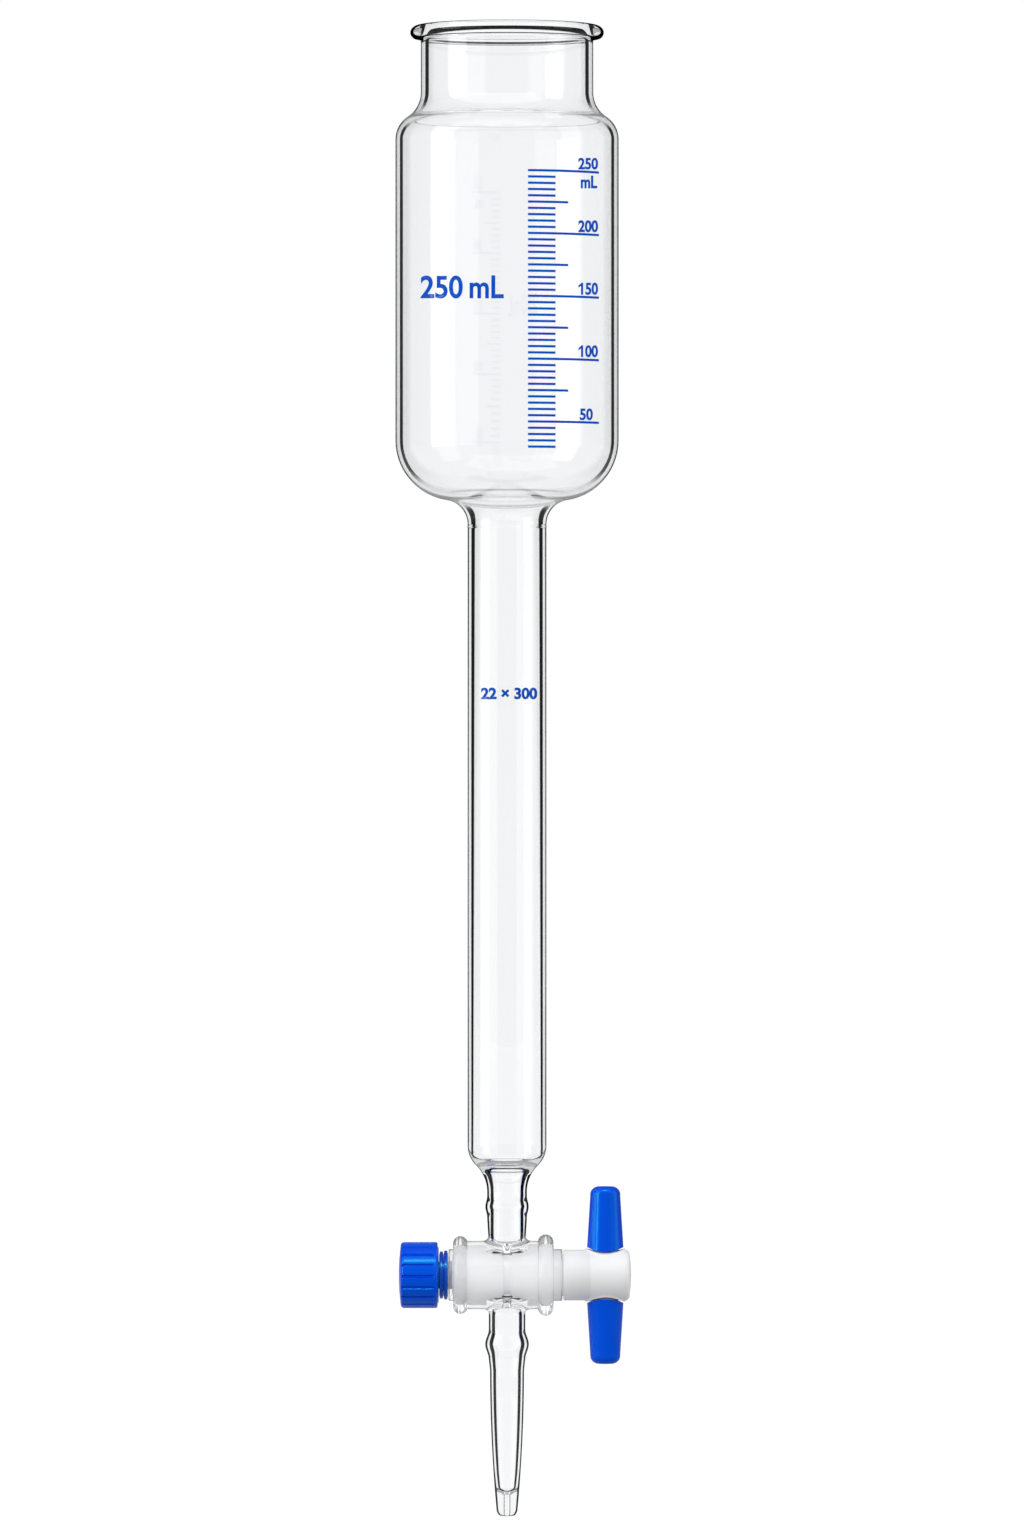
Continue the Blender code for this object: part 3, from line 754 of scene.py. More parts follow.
@dataclass
class GlassColumn:
    """One piece of fused glass, from the rolled rim to the drawn tip."""

    # Steps round the column, the barrel, the arms and the ports
    steps: int = 144
    barrel_steps: int = 128
    arm_steps: int = 96
    port_steps: int = 64

    # How far a straight run stops short of an arc, or a cutter goes past an end
    margin: float = 0.0006
    long_margin: float = 0.0010

    # Rim and neck
    rim_middle: Point = (0.0249, 0.2272)
    rim_half: Point = (0.0024, 0.0020)
    rim_fillet: float = 0.0009
    rim_fillet_turn: float = 62.0
    rim_ease: float = 0.0010
    rim_ease_turn: float = 26.0
    rim_foot_turn: float = -52.0
    folds: tuple[Fold, ...] = (Fold((0.0244, 0.2272), (0.00022, 0.00029), 1.3, 0.15),
                               Fold((0.0239, 0.22585), (0.0002, 0.0004), 0.0, 1.3))
    neck: float = 0.0243
    neck_bottom: float = 0.2104
    neck_ring: float = 0.2030
    neck_ring_rise: float = 0.00022
    neck_ring_half: float = 0.00018
    neck_ring_clear: float = 0.00025

    # Reservoir and tube
    reservoir: float = 0.03146
    reservoir_wall: float = 0.00125
    reservoir_top: float = 0.1971
    reservoir_bottom: float = 0.1122
    shoulder_round: float = 0.0075
    funnel_round: float = 0.0170
    tube: float = 0.0111
    tube_wall: float = 0.0010
    tube_top: float = 0.0885
    tube_bottom: float = -0.0885
    seam_rise: float = 0.00007
    seam_drop: float = 0.0006
    seam_height: float = 0.0009

    # Outlet, its inner lip and the upper arm
    outlet_start: float = -0.0866
    outlet_end: float = -0.0997
    outlet_round: float = 0.0080
    lip: float = 0.0051
    lip_drop: float = 0.0034
    lip_undercut: float = 0.0013
    lip_thickness: float = 0.0004
    lip_roll: float = 0.0002
    throat_round: float = 0.0035
    arm: float = 0.0056
    arm_root: float = 0.0053
    arm_wall: float = 0.00097
    arm_swelling: float = 0.0005
    arm_swelling_middle: float = -0.1039
    arm_swelling_height: float = 0.0060

    # Stopcock barrel with its beads, collars and ports
    barrel: float = 0.00963
    barrel_nut_end: float = 0.0165
    barrel_head_end: float = 0.0156
    barrel_neck: float = 0.0073
    barrel_ease: float = 0.0004
    barrel_run: Point = (0.0078, -0.0096)
    seat: float = 0.0060
    seat_taper: float = 0.0003
    nut_bead: tuple[float, float, float] = (0.01095, 0.00205, -0.01315)
    head_bead: tuple[float, float, float] = (0.01145, 0.00220, 0.0109)
    collar: float = 0.0016
    collar_sink: float = 0.0001
    apron: float = 0.00004
    apron_width: float = 0.0002
    port: float = 0.00105
    port_past: float = 0.0003
    port_depth: float = 0.0013
    bowl_depth: float = 0.0009
    bore_stop: float = 0.0007

    # Delivery arm and tip, with depths below the stopcock's axis
    tip_arm: float = 0.00515
    tip_arm_wall: float = 0.0009
    tip_arm_end: float = 0.0149
    tip_bore_end: float = 0.0156
    tip_swelling: float = 0.0010
    tip_swelling_drop: float = 0.0195
    tip_swelling_height: float = 0.0085
    tip_bore_swelling: float = 0.0007
    tip_bore_swelling_height: float = 0.0068
    tip_neck: float = 0.0048
    tip_neck_drop: float = 0.0268
    tip_length: float = 0.0679
    tip_end: float = 0.0030
    tip_end_round: float = 0.0022
    tip_flat_share: float = 0.35
    tip_bore: float = 0.0009
    tip_bevel: Point = (0.0002, 0.0003)
    tip_solid: float = 0.0070
    tip_floor_lift: float = 0.6
    tip_floor_dish: float = 0.8

    def wall_middle(self) -> float:
        """Give the radius halfway through the barrel's wall."""
        return (self.seat + self.barrel) / 2

    def arm_bore(self, side: int) -> float:
        """Give the bore of the upper arm, side 1, or of the lower one, side -1."""
        return self.arm - self.arm_wall if side > 0 else self.tip_arm - self.tip_arm_wall

    def outer_wall(self) -> list[Point]:
        """Give the outer wall from below the rim to the root of the upper arm.

        Returns:
            The points of (radius, height), from its top to its bottom.
        """
        neck_foot = (self.neck, self.neck_bottom)
        shoulder = (self.reservoir, self.reservoir_top)
        funnel = (self.reservoir, self.reservoir_bottom)
        seam = self.tube_top - self.seam_drop
        rim_foot = self.rim()[-1][1]
        points = straight((self.neck, rim_foot - self.margin), (self.neck, self.neck_bottom + self.margin), 6)
        points += ogee(shoulder, neck_foot, self.shoulder_round, 12)[::-1]
        points += straight(shoulder, funnel, 6)[1:-1]
        points += ogee(funnel, (self.tube, self.tube_top), self.funnel_round, 18)
        points += swelling(self.tube, self.seam_rise, seam, self.seam_height, 6)
        outlet = (self.tube, self.outlet_start)
        points += straight((self.tube, seam - self.margin), (self.tube, outlet[1] + self.long_margin), 8)
        points += ogee(outlet, (self.arm, self.outlet_end), self.outlet_round, 12)
        middle, height = self.arm_swelling_middle, self.arm_swelling_height
        points += swelling(self.arm, self.arm_swelling, middle, height, 14)
        below = middle - height / 2 - self.margin / 2
        points += straight((self.arm, below), (self.arm_root, STOPCOCK_AXIS + self.barrel + self.collar), 6)
        return points + [(self.arm_root, STOPCOCK_AXIS + self.wall_middle())]

    def inner_wall(self) -> list[Point]:
        """Give the inner wall from the neck to the root of the upper arm.

        Returns:
            The points of (radius, height), from its top to its bottom.
        """
        wide = self.reservoir - self.reservoir_wall
        neck = self.neck - self.reservoir_wall
        bore = self.tube - self.tube_wall
        arm = self.arm_bore(1)
        seam = self.tube_top - self.seam_drop
        rim_start = self.rim()[0][1]
        shoulder_round = self.shoulder_round - self.reservoir_wall
        funnel_round = self.funnel_round - self.reservoir_wall
        points = straight((neck, rim_start - 2 * self.margin), (neck, self.neck_bottom + self.margin), 6)
        shoulder = ogee((wide, self.reservoir_top), (neck, self.neck_bottom), shoulder_round, 24)
        points += self.ringed(shoulder[::-1])
        points += straight((wide, self.reservoir_top), (wide, self.reservoir_bottom), 6)[1:-1]
        points += ogee((wide, self.reservoir_bottom), (bore, self.tube_top), funnel_round, 18)
        points += swelling(bore, -self.seam_rise, seam, self.seam_height, 6)
        points += self.lip_wall(bore, arm)
        height = self.arm_swelling_height / 2
        points += swelling(arm, self.arm_swelling / 2, self.arm_swelling_middle, height, 10)
        below = self.arm_swelling_middle - 3 * self.margin
        points += straight((arm, below), (arm, STOPCOCK_AXIS + self.barrel + self.bore_stop), 8)
        return points + [(arm, STOPCOCK_AXIS + self.wall_middle())]

    def lip_wall(self, bore: float, arm: float) -> list[Point]:
        """Give the outlet's inner lip and the throat under it, between the tube's bore and the arm's.

        Args:
            bore: Radius of the tube's bore.
            arm: Radius of the arm's bore.

        Returns:
            The points of (radius, height), from its top to its bottom.
        """
        roll = self.lip_roll
        edge = self.tube_bottom - self.lip_drop
        under = self.lip + self.lip_undercut
        floor = edge - self.lip_thickness
        points = arc((self.lip, self.tube_bottom), (bore - self.lip, self.lip_drop), 0, -82, 14)
        points += arc((self.lip + roll, edge - roll), (roll, roll), 120, 230, 5)
        points += [(under, floor)]
        throat = (under + roll / 2, floor - 1.5 * roll)
        return points + ogee(throat, (arm, self.outlet_end), self.throat_round, 8)

    def ringed(self, points: list[Point]) -> list[Point]:
        """Raise the neck's fine ring, inwards, on a wall that runs down past it.

        Args:
            points: The wall.

        Returns:
            The wall with the ring in it.
        """
        height, rise, half = self.neck_ring, self.neck_ring_rise, self.neck_ring_half
        below = next(i for i, point in enumerate(points) if point[1] < height)
        (first, top), (last, bottom) = points[below - 1], points[below]
        radius = first + (last - first) * (top - height) / (top - bottom)
        ring = [(radius - rise / 5, height + half), (radius - rise, height)]
        ring += [(radius + rise / 10, height - half)]
        kept = [point for point in points if abs(point[1] - height) > self.neck_ring_clear]
        split = next(i for i, point in enumerate(kept) if point[1] < height)
        return kept[:split] + ring + kept[split:]

    def rim(self) -> list[Point]:
        """Give the rolled rim, from the neck's inner wall over the top to a fillet on its outer wall.

        Returns:
            The points of (radius, height).
        """
        middle, half, ease, fillet = self.rim_middle, self.rim_half, self.rim_ease, self.rim_fillet
        inner = self.neck - self.reservoir_wall
        reach = math.degrees(math.acos((middle[0] - inner) / half[0]))
        start = middle[1] - half[1] * math.sin(math.radians(reach))
        into = arc((inner - ease, start - ease * 0.6), (ease, ease), 0, self.rim_ease_turn, 4)
        bead = into[:-1] + arc(middle, half, 180 + reach - 14, self.rim_foot_turn, 40)
        foot = bead[-1][1] - fillet
        return bead + arc((self.neck + fillet, foot), (-fillet, fillet), self.rim_fillet_turn, 0, 6)

    def tip_radius(self, drop: float) -> float:
        """Give the outer radius of the drawn tip at a depth below the stopcock.

        Args:
            drop: Depth below the stopcock's axis.

        Returns:
            The radius.
        """
        taper_end = self.tip_length - self.tip_end_round
        share = (drop - self.tip_neck_drop) / (taper_end - self.tip_neck_drop)
        return self.tip_neck - (self.tip_neck - self.tip_end) * share**2

    def taper(self, start: float, end: float, wall: float, steps: int) -> list[Point]:
        """Follow the drawn taper between two depths, a wall's thickness inside its outline."""
        drops = [start + (end - start) * i / steps for i in range(steps + 1)]
        return [(self.tip_radius(drop) - wall, STOPCOCK_AXIS - drop) for drop in drops]

    def tip_section(self) -> list[Point]:
        """Give the delivery arm and tip as a ring section, outside down and inside up.

        Returns:
            The points of (radius, height).
        """
        axis = STOPCOCK_AXIS
        middle = axis - self.tip_swelling_drop
        end = axis - self.tip_length
        taper_end = self.tip_length - self.tip_end_round
        points = [(self.tip_arm, axis - self.wall_middle())]
        root = axis - self.barrel - self.collar
        points += straight((self.tip_arm, root), (self.tip_arm, axis - self.tip_arm_end), 5)
        points += swelling(self.tip_arm, self.tip_swelling, middle, self.tip_swelling_height, 16)
        points += self.taper(self.tip_neck_drop, taper_end, 0.0, 16)
        flat = self.tip_bore + (self.tip_end - self.tip_bore) * self.tip_flat_share
        points += arc((flat, axis - taper_end), (self.tip_end - flat, self.tip_end_round), -8, -90, 10)
        points += [(self.tip_bore + self.tip_bevel[0], end), (self.tip_bore, end + self.tip_bevel[1])]
        floor = self.tip_length - self.tip_solid
        below = axis - floor - self.tip_arm_wall
        points += straight((self.tip_bore, end + self.long_margin), (self.tip_bore, below), 3)
        wide = self.tip_radius(floor) - self.tip_arm_wall
        dish = (wide - self.tip_bore, wide * self.tip_floor_dish)
        points += arc((self.tip_bore, axis - floor + wide * self.tip_floor_lift), dish, -70, 0, 8)
        points += self.taper(floor - wide, self.tip_neck_drop, self.tip_arm_wall, 12)[1:]
        bore = self.arm_bore(-1)
        points += swelling(bore, self.tip_bore_swelling, middle, self.tip_bore_swelling_height, 14)[::-1]
        points += straight((bore, axis - self.tip_bore_end), (bore, axis - self.barrel - self.bore_stop), 6)
        return points + [(bore, axis - self.wall_middle())]

    def bead(self, size: tuple[float, float, float], start: float, end: float) -> list[Point]:
        """Give a rolled bead on the barrel, between two radii, from its +X side to its -X side.

        Args:
            size: The bead's outer radius, the radius of its section, and its place along the stopcock.
            start: Radius of the wall on its +X side.
            end: Radius of the wall on its -X side.

        Returns:
            The points of (radius, place).
        """
        radius, section, place = size
        centre = radius - section
        walls = [max(wall - centre, -section) for wall in (start, end)]
        first, last = (math.degrees(math.acos(wall / section)) for wall in walls)
        return arc((centre, place), (section, section), first, -last, 22)

    def barrel_section(self) -> list[Point]:
        """Give the barrel's outside, from its head end to its nut end.

        Returns:
            The points of (radius, place along the stopcock).
        """
        ease, neck = self.barrel_ease, self.barrel_neck
        head, nut = self.barrel_head_end, -self.barrel_nut_end
        points = [(0.0, head)] + arc((neck - ease, head - ease), (ease, ease), 90, 0, 4)
        points += [(neck, head - self.margin), (neck, head - 2 * self.margin)]
        points += self.bead(self.head_bead, neck, self.barrel)
        points += straight((self.barrel, self.barrel_run[0]), (self.barrel, self.barrel_run[1]), 24)
        points += self.bead(self.nut_bead, self.barrel, neck)
        points += [(neck, nut + 2 * self.margin), (neck, nut + self.margin)]
        return points + arc((neck - ease, nut + ease), (ease, ease), 0, -90, 4) + [(0.0, nut)]

    def seat_section(self) -> list[Point]:
        """Give the cutter for the tapered seat, a little past both ends.

        Returns:
            The points of (radius, place along the stopcock).
        """
        past = self.long_margin
        slope = self.seat_taper / (self.barrel_head_end + self.barrel_nut_end)
        wide = self.seat + slope * past
        narrow = self.seat - self.seat_taper - slope * past
        head, nut = self.barrel_head_end + past, -self.barrel_nut_end - past
        return [(0.0, head), (wide, head), (narrow, nut), (0.0, nut)]

    def port_section(self, side: int) -> list[Point]:
        """Give the cutter for the hole between an arm and the seat, with a bowl in the barrel's outside.

        Args:
            side: 1 for the upper arm, -1 for the lower one.

        Returns:
            The points of (radius, height), from the arm inwards.
        """
        top, bowl = self.barrel + self.port_past, self.barrel - self.port_past
        floor = self.seat - self.port_depth
        bore = self.arm_bore(side)
        points = [(0.0, top), (bore, top)]
        points += arc((self.port, bowl), (bore - self.port, -self.bowl_depth), 0, 84, 16)
        points += [(self.port, floor), (0.0, floor)]
        return [(radius, STOPCOCK_AXIS + side * height) for radius, height in points]

    def collar_edge(self, radius: float) -> float:
        """Give the radius of a collar's foot round an arm."""
        return radius - self.collar_sink + self.collar

    def collar_shape(self, radius: float, side: int) -> Shape:
        """Make the rounded collar, with its thin apron, where an arm is fused to the barrel.

        Args:
            radius: Radius of the arm.
            side: 1 for the upper arm, -1 for the lower one.

        Returns:
            The collar.
        """
        edge = self.collar_edge(radius)
        foot = edge + 2 * self.apron_width
        inside = (radius + self.arm_bore(side)) / 2
        depth = -(self.barrel - self.wall_middle()) / 2
        turns = [math.radians(90 - 9 * i) for i in range(11)]
        size = self.collar
        loops = [(edge - size * math.sin(t), size * (1 - math.cos(t)) + self.apron) for t in turns]
        loops += [(edge + self.apron_width, self.apron * 0.8), (foot, self.apron * 0.6), (foot, depth)]
        loops += [(inside, depth), (inside, self.collar - self.collar_sink)]
        rings = [saddle_ring((reach, reach), self.barrel, lift, side, 0.0, self.arm_steps)
                 for reach, lift in loops]
        return loft(rings, ring=True)

    def shape(self) -> bpy.types.Object:
        """Fuse all the glass into one closed body.

        Returns:
            The body.
        """
        section = self.outer_wall() + self.inner_wall()[::-1] + self.rim()
        glass = loose_object(spun(section, self.steps), "column_glass")
        for fold in self.folds:
            cutter = spun(arc(fold.middle, fold.half, 0, 337.5, 15), self.steps)
            combined(glass, loose_object(cutter, "rolled_fold"), "DIFFERENCE")
        barrel = spun(self.barrel_section(), self.barrel_steps, Axis.STOPCOCK, ring=False)
        combined(glass, loose_object(barrel, "barrel_blank"), "UNION")
        combined(glass, loose_object(spun(self.tip_section(), self.arm_steps), "tip_blank"), "UNION")
        for radius, side, name in ((self.arm_root, 1, "upper_collar"), (self.tip_arm, -1, "lower_collar")):
            combined(glass, loose_object(self.collar_shape(radius, side), name), "UNION")
        seat_shape = spun(self.seat_section(), self.barrel_steps, Axis.STOPCOCK, ring=False)
        seat = loose_object(seat_shape, "seat_cutter")
        for side in (1, -1):
            port = spun(self.port_section(side), self.port_steps, ring=False)
            combined(seat, loose_object(port, "port_cutter"), "UNION")
        return combined(glass, seat, "DIFFERENCE")

    def dress(self, glass: bpy.types.Object, finish: bpy.types.Material) -> None:
        """Give the glass its finish, and write the widths and depth of its painted shade lines and band on
        its points.

        Args:
            glass: The body.
            finish: The material.
        """
        mesh = glass.data
        mesh.materials.clear()
        mesh.materials.append(finish)
        for face in mesh.polygons:
            face.material_index = 0
        smoothed(glass, 28)
        rule = GlassLines(self)
        lines = [rule.line_of(vert.co, vert.normal) for vert in mesh.vertices]
        layers = {"line_share": [line.width for line in lines],
                  "line_depth": [line.depth for line in lines],
                  "line_inside": [line.within for line in lines],
                  "line_painted_band": [rule.painted_band_of(vert.co, vert.normal) for vert in mesh.vertices]}
        for name, values in layers.items():
            mesh.attributes.new(name, "FLOAT", "POINT").data.foreach_set("value", values)

    def build(self, effects: Effects) -> None:
        """Make the glass column and place it.

        Args:
            effects: The shared effects.
        """
        glass = self.shape()
        self.dress(glass, GlassFinish("clear_borosilicate").material(effects))
        placed(glass, "column", "glass_column")


@dataclass
class GlassLines:
    """The rule for the painted dark shade lines: how wide and how deep they are in each region of the glass.
    """

    glass: GlassColumn

    # Painted shade lines of one width in the regions of the stopcock
    seat: Line = Line(0.03, 0.10, 0.03)
    barrel_end: Line = Line(0.35, 0.30, 0.35)
    bead: Line = Line(0.06, 0.25, 0.03)
    # At the collar's foot a thin grey ring is painted as shade, the same from every side
    collar_foot_shade: Line = Line(1.3, 0.16, 1.3)
    collar: Line = Line(0.10, 0.25, 0.03)
    barrel: Line = Line(0.04, 0.16, 0.04)

    # Widths and depths of the painted shade lines on the walls
    tip_inner: Point = (0.20, 0.90)
    tip_outer: Point = (0.09, 0.80)
    tip_end_extra: float = 0.07
    arm_inner: Point = (0.18, 1.0)
    arm_outer: Point = (0.09, 0.95)
    arm_fade: float = 0.85
    throat_extra: float = 0.16
    tube_inner: float = 0.055
    tube_outer: float = 0.024
    tube_top_extra: float = 0.07
    reservoir_inner: float = 0.027
    reservoir_outer: float = 0.010
    neck_inner: float = 0.042
    outer_depth: float = 0.90
    reservoir_fade: float = 0.15
    inner_slope_fade: float = 0.95
    outer_slope_fade: float = 0.50
    rim_outer: float = 0.035
    rim_within: float = 0.03
    rim_foot_extra: float = 0.10
    # Widths of the painted grey shade band inside the inner wall's line, in the tube and in the reservoir
    tube_painted_band: float = 0.24
    reservoir_painted_band: float = 0.09

    # Stretches, in height or in the slope of the wall, over which one value turns into the next
    tip_end_band: Point = (-0.1760, -0.1860)
    arm_slope_band: Point = (0.55, 0.85)
    throat_band: Point = (-0.0945, -0.0925)
    wall_slope_band: Point = (0.48, 0.80)
    shoulder_slope_band: Point = (0.30, 0.65)
    funnel_band: Point = (0.0900, 0.1050)
    tube_top_rise: Point = (0.0840, 0.0900)
    tube_top_fall: Point = (0.0960, 0.0915)
    rim_foot_band: Point = (0.2268, 0.2256)

    # Bounds of the regions
    rim_start: float = 0.2246
    arm_start: float = -0.0950
    barrel_reach: float = 0.0140
    barrel_half: float = 0.0175
    seat_reach: float = 0.0068
    near: float = 0.0001

    def line_of(self, point: Vector, normal: Vector) -> Line:
        """Give the painted dark shade line along the outline near a point.

        Args:
            point: A point of the glass.
            normal: The surface's normal there.

        Returns:
            The line.
        """
        glass = self.glass
        radius = math.hypot(point.x, point.y)
        inner = normal.x * point.x + normal.y * point.y < 0
        if point.z > self.rim_start:
            return self.rim_line(radius, point.z, inner)
        root = glass.arm_root if point.z > STOPCOCK_AXIS else glass.tip_arm
        off_axis = abs(point.z - STOPCOCK_AXIS)
        clear = 5 * self.near if inner else glass.collar - 2 * self.near
        in_arm = radius < root + 4 * self.near and off_axis > glass.barrel + clear
        if off_axis < self.barrel_reach and abs(point.x) < self.barrel_half and not in_arm:
            from_axis, _ = turn_about_stopcock(point)
            return self.barrel_line(radius - glass.collar_edge(root), from_axis, point.x)
        slope = abs(normal.z)
        if point.z < STOPCOCK_AXIS:
            width, depth = self.tip_inner if inner else self.tip_outer
            width += 0.0 if inner else self.tip_end_extra * smooth_step(*self.tip_end_band, point.z)
            return Line(width, depth, width)
        if point.z < self.arm_start:
            width, depth = self.arm_inner if inner else self.arm_outer
            return Line(width, depth * (1 - self.arm_fade * smooth_step(*self.arm_slope_band, slope)), width)
        if inner and point.z < glass.tube_bottom - glass.lip_drop - glass.lip_thickness / 2:
            width = self.arm_inner[0] + self.throat_extra * smooth_step(*self.throat_band, point.z)
            return Line(width, 1.0, width)
        return self.inner_line(point.z, slope) if inner else self.outer_line(point.z, slope)

    def inner_line(self, height: float, slope: float) -> Line:
        """Give the painted shade line on the inner wall of the tube, the reservoir or the neck.

        Args:
            height: Height of the point.
            slope: How far its normal leans up or down, from 0 to 1.

        Returns:
            The line.
        """
        glass = self.glass
        wide = smooth_step(*self.funnel_band, height)
        width = self.tube_inner + (self.reservoir_inner - self.tube_inner) * wide
        top = smooth_step(*self.tube_top_rise, height) * smooth_step(*self.tube_top_fall, height)
        width += self.tube_top_extra * top
        width += (self.neck_inner - width) * smooth_step(glass.neck_ring, glass.neck_bottom, height)
        level = smooth_step(*self.wall_slope_band, slope)
        if height > glass.reservoir_top:
            level = self.inner_slope_fade * smooth_step(*self.shoulder_slope_band, slope)
        return Line(width, 1.0 - self.inner_slope_fade * level, width)

    def outer_line(self, height: float, slope: float) -> Line:
        """Give the painted shade line on the outer wall of the tube, the reservoir or the neck.

        Args:
            height: Height of the point.
            slope: How far its normal leans up or down, from 0 to 1.

        Returns:
            The line.
        """
        wide = smooth_step(*self.funnel_band, height)
        level = smooth_step(*self.wall_slope_band, slope)
        width = self.tube_outer + (self.reservoir_outer - self.tube_outer) * wide
        depth = self.outer_depth - self.reservoir_fade * wide - self.outer_slope_fade * level
        return Line(width, depth, width)

    def painted_band_of(self, point: Vector, normal: Vector) -> float:
        """Give the width of the painted grey shade band inside the inner wall's painted line, as a share of
        the radius.

        Args:
            point: A point of the glass.
            normal: The surface's normal there.

        Returns:
            The width, or 0 where there is no band.
        """
        glass = self.glass
        faces_in = normal.x * point.x + normal.y * point.y < 0
        if not faces_in or not glass.rim_middle[1] - glass.rim_half[1] > point.z > glass.tube_bottom:
            return 0.0
        share = smooth_step(glass.tube_top, glass.reservoir_bottom, point.z)
        return self.tube_painted_band - (self.tube_painted_band - self.reservoir_painted_band) * share

    def rim_line(self, radius: float, height: float, inner: bool) -> Line:
        """Give the painted shade line near a point of the rim.

        Args:
            radius: Distance of the point from the column's axis.
            height: Its height.
            inner: True where it faces the axis.

        Returns:
            The line.
        """
        # A rolled fold's walls are painted dark shade, over the whole wall where the width is over 1
        for fold in self.glass.folds:
            across = (radius - fold.middle[0]) / fold.half[0]
            up = (height - fold.middle[1]) / fold.half[1]
            if math.hypot(across, up) < 1.1:
                return Line(0.0, 1.0, fold.line_out if across > 0 else fold.line_in)
        if inner:
            return Line(self.neck_inner, 1.0, self.neck_inner)
        low = smooth_step(*self.rim_foot_band, height)
        return Line(self.rim_outer, 1.0, self.rim_within + self.rim_foot_extra * low)

    def barrel_line(self, off_collar: float, from_axis: float, place: float) -> Line:
        """Give the painted shade line near a point of the barrel.

        Args:
            off_collar: Distance outwards from the collar's foot.
            from_axis: Distance from the stopcock's axis.
            place: Place along the stopcock.

        Returns:
            The line.
        """
        glass = self.glass
        if from_axis < self.seat_reach:
            return self.seat
        if not 5 * self.near - glass.barrel_nut_end < place < glass.barrel_head_end - 5 * self.near:
            return self.barrel_end
        for _, section, middle in (glass.nut_bead, glass.head_bead):
            if from_axis > glass.barrel - 6 * self.near and abs(place - middle) < section * 1.05:
                return self.bead
        if from_axis > glass.barrel + glass.apron / 3 and off_collar < self.near:
            return self.collar_foot_shade if off_collar > -self.near else self.collar
        return self.barrel


# The plug and its handle


